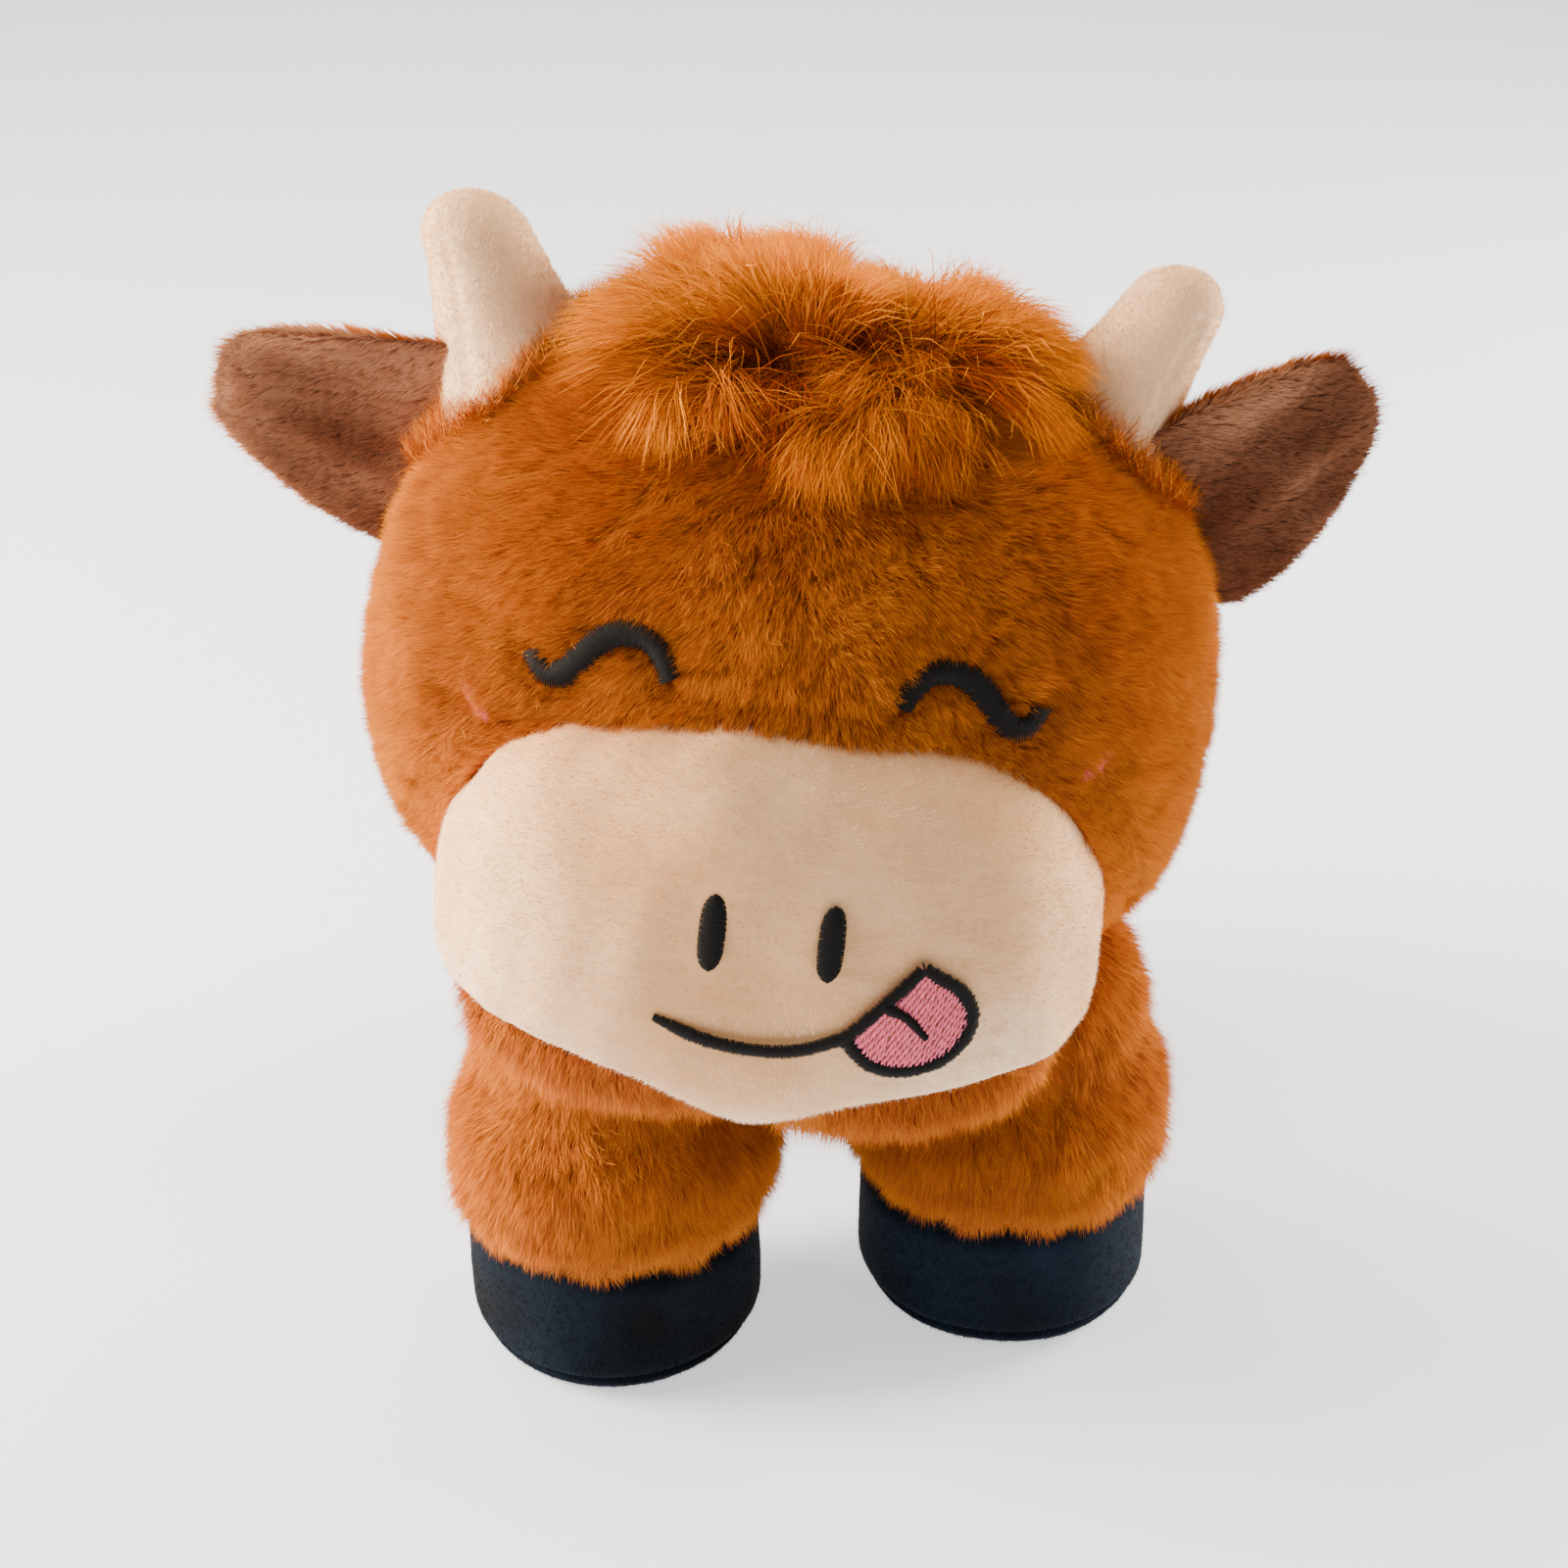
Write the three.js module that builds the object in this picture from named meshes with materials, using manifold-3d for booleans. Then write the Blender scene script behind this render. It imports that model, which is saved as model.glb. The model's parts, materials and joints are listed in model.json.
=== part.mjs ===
// A stuffed highland cow toy for dogs, in millimetres. It stands on four hooves, faces -Y, and +Z is up.
// Left and right are the toy's own, so its left side is +X.
import * as THREE from 'three';
import { mergeVertices } from 'three/addons/utils/BufferGeometryUtils.js';
import Module from 'manifold-3d';

const wasm = await Module();
wasm.setup();

const DEGREE = Math.PI / 180;

// Clearances and cloth shared by every piece.
const gap = 0.3;
const cloth = 2.5;
const overrun = 40;
const mergeLimit = 1e-4;
const plasticRoughness_share = 0.5;

// Head: a ball wider than it is deep, carried over the front legs, tipped and turned to the toy's right.
const head = {
  width: 158,
  depth: 132,
  height: 140,
  power: 2.2,
  lowestUp: 66,
  centreBack: -27,
  centreAside: -1.2,
  rollAngle: 5.5,
  yawAngle: -7,
  neckBore: 44,
  neckTiltAngle: 35,
  sideCount: 32,
  ringCount: 22,
};

// Muzzle: a wide pillow low on the front of the head, cream above and fur under its pointed seam.
const muzzle = {
  width: 120,
  depth: 90,
  power: 2.5,
  above: 56,
  under: 30,
  below: 36,
  forward: 38,
  seamPoint: 57,
  seamSide: 40,
  pointWidth: 26,
  sideCount: 28,
  ringCount: 18,
};

// Satin stitch standing on the plush of the face.
const stitch = {
  height: 1.4,
  eyeStroke: 3.8,
  mouthStroke: 2.6,
  tongueStroke: 2.4,
};

const eye = {
  aside: 31.6,
  above: 23.5,
  halfWidth: 13,
  crest: 4.8,
  dipBelow: 5,
  across_shares: [1, 0.7, 0.25, -0.35, -0.72, -0.92],
  crest_shares: [-0.3, 0, 0, 1, 0.5, 0],
  dip_shares: [0, 1, 0, 0, 0, 0.5],
};

const nostril = {
  width: 4.8,
  height: 13.5,
  aside: 10,
  below: 14.5,
};

const mouth = {
  left: 14.4,
  right: 17.6,
  cornerBelow: 31,
  lowest: 35,
};

// Tongue: it hangs from the smile's left end. Its outline starts there, as shares of its width and height.
const tongue = {
  width: 21,
  height: 19.4,
  topBelow: 18.7,
  outline_shares: [
    [0, 0.64], [0.27, 0.32], [0.55, 0], [0.82, 0.1],
    [0.97, 0.4], [0.89, 0.79], [0.52, 0.97], [0.24, 0.9],
  ],
  crease_shares: [[0.27, 0.32], [0.64, 0.63]],
};

const blush = {
  width: 9,
  height: 4,
  inside: 23,
  above: 8.5,
  tiltAngle: 50,
};

// Horns: blunt curved cones on the shoulders of the head.
const horn = {
  length: 40,
  baseWidth: 34,
  neckWidth: 25,
  tipWidth: 20,
  bend: 6,
  inside: 28,
  sunk: 27,
  behind: 2,
  leftLeanAngle: 8,
  rightLeanAngle: 11,
  sideCount: 14,
  stepCount: 4,
  tipStepCount: 3,
};

// Ears: flat dished paddles whose root is a hem sewn to the side of the head.
const ear = {
  length: 40,
  width: 33,
  rootWidth: 46,
  thickness: 11,
  hemWidth: 5,
  liningInset: 3,
  liningThickness: 2.2,
  left: { inside: 9.5, above: 33, liftAngle: 46, twistAngle: 20 },
  right: { inside: 8, above: 30, liftAngle: 9, twistAngle: 18 },
  behind: 4,
  sweepAngle: 8,
  swingAngle: 20,
  sideCount: 16,
  stepCount: 10,
};

// Topknot: a long-haired tuft on the crown that falls over the forehead.
const topknot = {
  width: 92,
  depth: 60,
  height: 50,
  power: 2.4,
  aside: 1,
  forward: 5,
  sunk: 16,
  lockCount: 9,
  lockDepth_share: 0.04,
  sideCount: 36,
  ringCount: 12,
};

// Torso: an egg lying along Y, narrower at the chest.
const torso = {
  width: 122,
  length: 140,
  height: 88,
  power: 2.2,
  centreBack: 12,
  centreUp: 90,
  chestTaper_share: 0.1,
  sideCount: 24,
  ringCount: 16,
};

// Legs: fur tubes that flare above round hooves with a flat sole.
const leg = {
  width: 63.5,
  ankleWidth: 59,
  shoulderWidth: 54,
  flareUp: 10,
  fullUp: 20,
  topUp: 92,
  domeHeight: 30,
  hipUp: 66,
  swingAngle: 10,
  rightAside: 37.5,
  leftAside: 40,
  frontRightBack: -46,
  frontLeftBack: -39,
  rearBack: 52,
  rearAside: 38,
  sideCount: 18,
  stepCount: 5,
};

const hoof = {
  width: 55.5,
  height: 31,
  footRound: 9,
  topRound: 3,
};

const sole = {
  width: 36,
  thickness: 2,
};

// Squeaker: a telescoping plastic bellows in a pocket of the stuffing, over the belly seam.
const squeaker = {
  width: 36,
  wall: 1.5,
  baseHeight: 10,
  crownHeight: 18,
  travel: 6,
  running: 0.6,
  reedBore: 6,
  reedHeight: 7,
  back: 22,
  sideCount: 16,
};

// Belly seam: the opening that the stuffing went in by, closed with a ladder stitch.
const bellySeam = {
  length: 46,
  width: 3,
};

// Tail: a thin fur cord with a tuft, hanging from the rump.
const tail = {
  rootWidth: 13,
  endWidth: 9,
  length: 52,
  clearOfRump: 12.4,
  rootUp: 104,
  tuftWidth: 22,
  tuftLength: 36,
  swingInAngle: 5,
  swingOutAngle: 35,
  sideCount: 10,
  stepCount: 6,
};

const colour = {
  fur: 0xc47838,
  topknot: 0xb5602a,
  cream: 0xd9cbb8,
  mocha: 0x80533f,
  navy: 0x202a34,
  black: 0x1c1a19,
  pink: 0xdc919a,
  stuffing: 0xf2f0ea,
  plastic: 0xe8e6df,
  thread: 0xa8642c,
};

// Turns a closed geometry into a solid that can be cut.
function solid(geometry) {
  const bare = geometry.clone();
  bare.deleteAttribute('normal');
  bare.deleteAttribute('uv');
  const merged = mergeVertices(bare, mergeLimit);
  const mesh = new wasm.Mesh({
    numProp: 3,
    vertProperties: new Float32Array(merged.attributes.position.array),
    triVerts: new Uint32Array(merged.index.array),
  });
  return new wasm.Manifold(mesh);
}

// Turns a cut solid back into a geometry.
function surface(body) {
  const mesh = body.getMesh();
  const geometry = new THREE.BufferGeometry();
  geometry.setAttribute('position', new THREE.BufferAttribute(new Float32Array(mesh.vertProperties), 3));
  geometry.setIndex(new THREE.BufferAttribute(new Uint32Array(mesh.triVerts), 1));
  geometry.computeVertexNormals();
  return geometry;
}

// Moves every point of a geometry by a rule.
function shaped(geometry, rule) {
  const place = geometry.attributes.position;
  const point = new THREE.Vector3();
  for (let i = 0; i < place.count; i++) {
    point.fromBufferAttribute(place, i);
    rule(point);
    place.setXYZ(i, point.x, point.y, point.z);
  }
  return geometry;
}

// A rounded body: a unit ball squared by its power, shaped in unit space, then stretched to its sizes.
function pillow(size, grow, sideCount, ringCount, rule = () => {}) {
  const ball = new THREE.SphereGeometry(1, sideCount, ringCount);
  ball.rotateX(Math.PI / 2);
  return shaped(ball, (point) => {
    const sum = Math.abs(point.x) ** size.power + Math.abs(point.y) ** size.power
      + Math.abs(point.z) ** size.power;
    point.divideScalar(sum ** (1 / size.power));
    rule(point);
    point.x *= size.width / 2 + grow;
    point.y *= size.depth / 2 + grow;
    point.z *= size.height / 2 + grow;
  });
}

// The head's surface, grown outwards or inwards, in the head's own frame.
function headForm(grow, sideCount = head.sideCount, ringCount = head.ringCount) {
  return pillow(head, grow, sideCount, ringCount);
}

// The space that a turning piece leaves to the forms round it, in the frame that turns about its axis.
function sweptRoom(forms, frame, axis, turns) {
  const inverse = frame.clone().invert();
  let room = null;
  for (const turn of turns) {
    const back = new THREE.Matrix4().makeRotationAxis(axis, -turn * DEGREE).multiply(inverse);
    for (const form of forms) {
      const there = solid(form.clone().applyMatrix4(back));
      room = room ? room.add(there) : there;
    }
  }
  return room;
}

// The muzzle's surface in the head's own frame: taller above its widest line than under it.
function muzzleForm(grow) {
  const size = { ...muzzle, height: 2 * muzzle.above };
  const lower = (muzzle.under + grow) / (muzzle.above + grow);
  const form = pillow(size, grow, muzzle.sideCount, muzzle.ringCount, (point) => {
    point.z *= point.z < 0 ? lower : 1;
  });
  return form.translate(0, -muzzle.forward, -muzzle.below);
}

// The torso's surface in the toy's frame: an egg drawn in towards the chest.
function torsoForm(grow, sideCount = torso.sideCount, ringCount = torso.ringCount) {
  const size = { ...torso, depth: torso.length };
  const form = pillow(size, grow, sideCount, ringCount, (point) => {
    point.x *= 1 + torso.chestTaper_share * point.y;
  });
  return form.translate(0, torso.centreBack, torso.centreUp);
}

// A turned body along +Z with its flat or pointed ends on the axis.
function turned(points, sideCount) {
  const profile = points.map(([radius, up]) => new THREE.Vector2(radius, up));
  const lathe = new THREE.LatheGeometry(profile, sideCount);
  return lathe.rotateX(Math.PI / 2);
}

// Rounds a corner of a turned profile between two radii and two heights.
function corner(radius, up, round, from, to, stepCount) {
  return Array.from({ length: stepCount + 1 }, (_, i) => {
    const angle = from + (to - from) * i / stepCount;
    return [radius + round * Math.cos(angle), up + round * Math.sin(angle)];
  });
}

function mesh(name, geometry, tint, roughness = 1) {
  const material = new THREE.MeshStandardMaterial({ color: tint, roughness, metalness: 0 });
  const item = new THREE.Mesh(geometry, material);
  item.name = name;
  return item;
}

// The head's own frame in the toy.
function headGroup() {
  const group = new THREE.Group();
  group.position.set(head.centreAside, head.centreBack, head.lowestUp + head.height / 2);
  group.rotation.set(0, head.rollAngle * DEGREE, head.yawAngle * DEGREE, 'ZYX');
  group.updateMatrixWorld(true);
  return group;
}

const headFrame = headGroup();

function inToy(geometry) {
  return geometry.clone().applyMatrix4(headFrame.matrix);
}

// The neck passes from the back of the head down into the torso.
function neckForm() {
  const radius = head.neckBore / 2;
  const bore = new THREE.CylinderGeometry(radius, radius, head.height, head.sideCount / 2);
  const tilt = head.neckTiltAngle * DEGREE;
  bore.rotateX(Math.PI / 2 + tilt);
  const along = new THREE.Vector3(0, Math.sin(tilt), -Math.cos(tilt));
  const centre = along.multiplyScalar(head.height / 2);
  return bore.translate(centre.x, centre.y, centre.z);
}

// Head cover and stuffing.
function makeHead() {
  const half = [head.sideCount / 2, head.ringCount / 2];
  const cover = solid(headForm(0))
    .subtract(solid(headForm(-cloth, ...half)))
    .subtract(solid(neckForm()));
  const stuffing = solid(headForm(-cloth - gap, ...half));
  headFrame.add(mesh('head_cover', surface(cover), colour.fur));
  headFrame.add(mesh('head_stuffing', surface(stuffing), colour.stuffing));
}

// The seam between the cream panel and the fur chin, as an outline of all that lies under it.
function underSeam(lift) {
  const { seamPoint, seamSide, pointWidth, width, under } = muzzle;
  const point = lift - seamPoint;
  const side = lift - seamSide;
  const bend = side + (point - side) / 3;
  const shape = new THREE.Shape();
  shape.moveTo(0, point);
  shape.quadraticCurveTo(pointWidth / 4, bend, pointWidth, side);
  shape.lineTo(width, side);
  shape.lineTo(width, -seamPoint - under);
  shape.lineTo(-width, -seamPoint - under);
  shape.lineTo(-width, side);
  shape.lineTo(-pointWidth, side);
  shape.quadraticCurveTo(-pointWidth / 4, bend, 0, point);
  return shape;
}

// Muzzle: a cream panel, a fur chin panel sewn under it and their stuffing, open towards the head.
function makeMuzzle() {
  const face = solid(headForm(gap));
  const shell = solid(muzzleForm(0)).subtract(solid(muzzleForm(-cloth))).subtract(face);
  const stuffing = solid(muzzleForm(-cloth - gap)).subtract(face);
  const cream = shell.subtract(solid(prism(underSeam(0), 3)));
  const chin = shell.intersect(solid(prism(underSeam(-gap), 3)));
  headFrame.add(mesh('muzzle_panel', surface(cream), colour.cream));
  headFrame.add(mesh('chin_panel', surface(chin), colour.fur));
  headFrame.add(mesh('muzzle_stuffing', surface(stuffing), colour.stuffing));
}

// The outline of a stroke of satin stitch: a smooth line with width and round ends.
function strokeShape(points, width, stepCount) {
  const line = new THREE.SplineCurve(points.map(([x, z]) => new THREE.Vector2(x, z)));
  const left = [];
  const right = [];
  for (let i = 0; i <= stepCount; i++) {
    const at = line.getPointAt(i / stepCount);
    const way = line.getTangentAt(i / stepCount);
    const side = new THREE.Vector2(-way.y, way.x).multiplyScalar(width / 2);
    left.push(at.clone().add(side));
    right.push(at.clone().sub(side));
  }
  const end = line.getPointAt(1).add(line.getTangentAt(1).multiplyScalar(width / 2));
  const start = line.getPointAt(0).sub(line.getTangentAt(0).multiplyScalar(width / 2));
  return new THREE.Shape([start, ...right, end, ...left.reverse()]);
}

function ovalShape(width, height, tilt, x, z) {
  const shape = new THREE.Shape();
  shape.absellipse(x, z, width / 2, height / 2, 0, 2 * Math.PI, false, tilt * DEGREE);
  return shape;
}

// A prism of an outline drawn in the head's X and Z, running forward from its middle plane.
function prism(shape, curveSegments = 5) {
  const deep = head.depth + muzzle.depth;
  const form = new THREE.ExtrudeGeometry(shape, { depth: deep, bevelEnabled: false, curveSegments });
  return form.rotateX(Math.PI / 2);
}

// Embroidery on a surface: the part of a prism between the surface raised a little and raised more.
function embroidered(shape, form, curveSegments = 5) {
  const low = solid(form(gap));
  const high = solid(form(gap + stitch.height));
  return solid(prism(shape, curveSegments)).intersect(high.subtract(low));
}

// A closed eye: an S lying on its side, crest inwards, from its outer end.
function eyeShape(side) {
  const { aside, above, halfWidth, crest, dipBelow } = eye;
  const points = eye.across_shares.map((across, i) => [
    side * (aside + halfWidth * across),
    above + crest * eye.crest_shares[i] - dipBelow * eye.dip_shares[i],
  ]);
  return strokeShape(points, stitch.eyeStroke, 12);
}

// A place on the tongue, from shares of its width and height.
function tonguePlace([across, down]) {
  return new THREE.Vector2(mouth.left + tongue.width * across, -tongue.topBelow - tongue.height * down);
}

// The tongue's edge, drawn in or out from its middle.
function tongueShape(inward) {
  const middle = tonguePlace([0.5, 0.5]);
  const edge = tongue.outline_shares.map((share) => {
    const point = tonguePlace(share);
    return point.add(middle.clone().sub(point).setLength(inward));
  });
  const line = new THREE.SplineCurve([...edge, edge[0]]);
  return new THREE.Shape(line.getPoints(4 * edge.length).slice(0, -1));
}

// Tongue and its dark outline, with the crease down its middle.
function makeTongue() {
  const half = stitch.tongueStroke / 2;
  const ends = tongue.crease_shares.map((share) => tonguePlace(share).toArray());
  const crease = (width) => strokeShape(ends, width, 4);
  const dark = embroidered(tongueShape(-half), muzzleForm)
    .subtract(solid(prism(tongueShape(half))))
    .add(embroidered(crease(stitch.tongueStroke), muzzleForm));
  const pink = embroidered(tongueShape(half + gap), muzzleForm)
    .subtract(solid(prism(crease(stitch.tongueStroke + 2 * gap))));
  headFrame.add(mesh('tongue', surface(pink), colour.pink));
  headFrame.add(mesh('tongue_outline', surface(dark), colour.black));
}

// Face embroidery.
function makeFace() {
  headFrame.add(mesh('eye_right', surface(embroidered(eyeShape(-1), headForm)), colour.black));
  headFrame.add(mesh('eye_left', surface(embroidered(eyeShape(1), headForm)), colour.black));
  for (const [name, side] of [['nostril_right', -1], ['nostril_left', 1]]) {
    const shape = ovalShape(nostril.width, nostril.height, 0, side * nostril.aside, -nostril.below);
    headFrame.add(mesh(name, surface(embroidered(shape, muzzleForm)), colour.black));
  }
  const { left, right, cornerBelow, lowest } = mouth;
  const room = stitch.tongueStroke / 2 + stitch.mouthStroke / 2 + gap;
  const sag = lowest - cornerBelow;
  const smile = strokeShape([
    [-right, -cornerBelow],
    [-right / 2, -lowest + sag / 4],
    [0, -lowest],
    [left - room, -cornerBelow - sag / 3],
  ], stitch.mouthStroke, 10);
  headFrame.add(mesh('smile', surface(embroidered(smile, muzzleForm)), colour.black));
  for (const [name, side] of [['cheek_right', -1], ['cheek_left', 1]]) {
    const aside = head.width / 2 - blush.inside;
    const shape = ovalShape(blush.width, blush.height, side * blush.tiltAngle, side * aside, blush.above);
    headFrame.add(mesh(name, surface(embroidered(shape, headForm, 4)), colour.pink));
  }
}

// A horn: a flared root under the fur, a tapered shaft and a domed tip, bent outwards.
function hornForm(side, grow = 0) {
  const { length, baseWidth, neckWidth, tipWidth, bend, stepCount, tipStepCount } = horn;
  const tip = tipWidth / 2;
  const shaft = length - tip;
  const profile = [[0, 0]];
  for (let i = 0; i <= stepCount; i++) {
    const t = i / stepCount;
    const flare = (baseWidth - neckWidth) * (1 - t) ** 3;
    profile.push([(THREE.MathUtils.lerp(neckWidth, tipWidth, t) + flare) / 2 + grow, t * shaft]);
  }
  const dome = corner(0, shaft, tip + grow, 0, Math.PI / 2, tipStepCount);
  profile.push(...dome.slice(1, -1), [0, length + grow]);
  const form = shaped(turned(profile, horn.sideCount), (point) => {
    point.x += side * bend * (point.z / length) ** 2;
  });
  form.rotateY(side * (side > 0 ? horn.leftLeanAngle : horn.rightLeanAngle) * DEGREE);
  return form.translate(side * (head.width / 2 - horn.inside), horn.behind, head.height / 2 - horn.sunk);
}

function makeHorns() {
  for (const [name, side] of [['horn_right', -1], ['horn_left', 1]]) {
    const horned = solid(hornForm(side)).subtract(solid(headForm(gap)));
    headFrame.add(mesh(name, surface(horned), colour.cream));
  }
}

// The topknot: a low dome with scalloped locks round its rim, seated on the crown.
function makeTopknot() {
  const form = pillow(topknot, 0, topknot.sideCount, topknot.ringCount, (point) => {
    const around = Math.atan2(point.y, point.x);
    const lock = 1 - topknot.lockDepth_share * (1 + Math.cos(topknot.lockCount * around));
    point.x *= lock;
    point.y *= lock;
  });
  form.translate(topknot.aside, -topknot.forward, head.height / 2 - topknot.sunk);
  let tuft = solid(form).subtract(solid(headForm(gap)));
  for (const side of [-1, 1]) {
    tuft = tuft.subtract(solid(hornForm(side, gap)));
  }
  headFrame.add(mesh('topknot', surface(tuft), colour.topknot));
}

// An ear's outline lies along +X with its face towards -Y. Drawn in by inset, it runs from the depth
// front to the depth back, and thins to the hem along its root.
function earForm(side, inset, front, back) {
  const { length, width, rootWidth, thickness, hemWidth } = ear;
  const ball = new THREE.SphereGeometry(1, ear.sideCount, ear.stepCount);
  ball.rotateZ(-side * Math.PI / 2);
  return shaped(ball, (point) => {
    const along = (side * point.x + 1) / 2;
    const round = Math.sqrt(Math.max(0, 1 - point.x ** 2));
    const full = round > 0 ? round ** -0.5 : 0;
    const spread = THREE.MathUtils.lerp(rootWidth, width, along) / 2 - inset;
    const thin = THREE.MathUtils.lerp(hemWidth / thickness, 1, Math.min(1, 2 * along));
    const deep = (point.y < 0 ? front : back) * thin;
    point.set(side * (inset + along * (length - 2 * inset)), point.y * full * deep, point.z * full * spread);
  });
}

// The ear's own frame in the head: it hinges on its hem, along the group's Z.
function earGroup(name, side) {
  const { inside, above, liftAngle, twistAngle } = side > 0 ? ear.left : ear.right;
  const group = new THREE.Group();
  group.name = `${name}_hem`;
  group.position.set(side * (head.width / 2 - inside), ear.behind, above);
  group.rotation.set(twistAngle * DEGREE, -side * liftAngle * DEGREE, side * ear.sweepAngle * DEGREE, 'ZYX');
  group.updateMatrix();
  return group;
}

// An ear: a fur back and a short plush lining lying on its front, both cut at the root to seat on the
// head and to clear the horn as the ear flaps.
function makeEar(name, side) {
  const { thickness, liningThickness, liningInset, swingAngle } = ear;
  const half = thickness / 2;
  const front = half - liningThickness;
  const group = earGroup(name, side);
  const turns = [-swingAngle, -swingAngle / 2, 0, swingAngle / 2, swingAngle];
  const forms = [headForm(gap), hornForm(side, gap)];
  const room = sweptRoom(forms, group.matrix, new THREE.Vector3(0, 0, 1), turns);
  const outline = solid(earForm(side, liningInset, overrun, overrun));
  const back = solid(earForm(side, 0, front, half)).subtract(room);
  const lining = solid(earForm(side, 0, half, 0))
    .subtract(solid(earForm(side, 0, front + gap, thickness)))
    .intersect(outline)
    .subtract(room);
  group.add(mesh(`${name}_back`, surface(back), colour.fur));
  group.add(mesh(`${name}_lining`, surface(lining), colour.mocha));
  headFrame.add(group);
}

// A turned leg about its hip: flared ankle, column narrowing upwards and a domed top.
function legForm() {
  const { width, ankleWidth, shoulderWidth, flareUp, fullUp } = leg;
  const { topUp, domeHeight, stepCount, hipUp } = leg;
  const seam = hoof.height + gap;
  const profile = [[0, seam]];
  for (let i = 0; i <= 2; i++) {
    const angle = i * Math.PI / 4;
    const flare = (width - ankleWidth) * Math.sin(angle);
    profile.push([(ankleWidth + flare) / 2, seam + flareUp * (1 - Math.cos(angle))]);
  }
  profile.push([width / 2, seam + fullUp]);
  for (let i = 0; i < stepCount; i++) {
    const angle = i / stepCount * Math.PI / 2;
    profile.push([shoulderWidth / 2 * Math.cos(angle), topUp - domeHeight * (1 - Math.sin(angle))]);
  }
  profile.push([0, topUp]);
  return turned(profile, leg.sideCount).translate(0, 0, -hipUp);
}

// Half of a hoof's outline: a bed for the sole, a rounded foot and a softened top edge.
function hoofProfile() {
  const { width, height, footRound, topRound } = hoof;
  const bed = sole.width / 2 + gap;
  return [
    [0, sole.thickness + gap],
    [bed, sole.thickness + gap],
    [bed, 0],
    ...corner(width / 2 - footRound, footRound, footRound, -Math.PI / 2, 0, 3),
    ...corner(width / 2 - topRound, height - topRound, topRound, 0, Math.PI / 2, 2),
    [0, height],
  ];
}

// A leg on its hip: the fur tube is cut to seat under the torso, the head and the muzzle as it swings.
function makeLeg(place, x, y) {
  const group = new THREE.Group();
  group.name = `${place}_hip`;
  group.position.set(x, y, leg.hipUp);
  group.updateMatrix();
  const body = [torsoForm(gap), inToy(headForm(gap)), inToy(muzzleForm(gap))];
  const turns = [-leg.swingAngle, 0, leg.swingAngle];
  const room = sweptRoom(body, group.matrix, new THREE.Vector3(1, 0, 0), turns);
  const fur = solid(legForm()).subtract(room);
  const pad = [[0, 0], [sole.width / 2, 0], [sole.width / 2, sole.thickness], [0, sole.thickness]];
  const lowered = (profile) => turned(profile, leg.sideCount).translate(0, 0, -leg.hipUp);
  group.add(mesh(`leg_${place}`, surface(fur), colour.fur));
  group.add(mesh(`hoof_${place}`, lowered(hoofProfile()), colour.navy));
  group.add(mesh(`sole_${place}`, lowered(pad), colour.navy));
  toy.add(group);
}

// The squeaker's place: on the belly cloth, in a pocket of the stuffing.
function squeakerFloor() {
  return torso.centreUp - torso.height / 2 + cloth + bellySag();
}

// How far the belly has risen at the edge of the squeaker.
function bellySag() {
  const out = squeaker.width / torso.width;
  const back = (Math.abs(squeaker.back - torso.centreBack) + squeaker.width / 2) / (torso.length / 2);
  return torso.height / 2 * (1 - (1 - out ** torso.power - back ** torso.power) ** (1 / torso.power)) + gap;
}

// Torso: a fur cover open at the neck and along the belly seam, and its stuffing with the squeaker's pocket.
function makeTorso() {
  const half = [torso.sideCount / 2, torso.ringCount / 2];
  const room = solid(inToy(headForm(gap))).add(solid(inToy(muzzleForm(gap))));
  const neck = solid(inToy(neckForm()));
  const slit = new THREE.BoxGeometry(bellySeam.width, bellySeam.length, torso.height);
  slit.translate(0, squeaker.back, torso.centreUp - torso.height / 2);
  const cover = solid(torsoForm(0))
    .subtract(solid(torsoForm(-cloth, ...half)))
    .subtract(room)
    .subtract(neck)
    .subtract(solid(slit));
  const floor = squeakerFloor();
  const pocketHeight = squeaker.crownHeight + squeaker.travel + gap;
  const bore = squeaker.width / 2 + gap;
  const pocket = new THREE.CylinderGeometry(bore, bore, torso.height, squeaker.sideCount);
  pocket.rotateX(Math.PI / 2).translate(0, squeaker.back, floor + pocketHeight - torso.height / 2);
  const stuffing = solid(torsoForm(-cloth - gap, ...half)).subtract(room).subtract(solid(pocket));
  toy.add(mesh('torso_cover', surface(cover), colour.fur));
  toy.add(mesh('torso_stuffing', surface(stuffing), colour.stuffing));
  const seam = new THREE.BoxGeometry(bellySeam.width - 2 * gap, bellySeam.length - 2 * gap, torso.height);
  seam.translate(0, squeaker.back, torso.centreUp - torso.height / 2);
  const stitches = solid(seam).intersect(solid(torsoForm(0))).subtract(solid(torsoForm(-cloth, ...half)));
  toy.add(mesh('belly_seam', surface(stitches), colour.thread));
}

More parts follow.
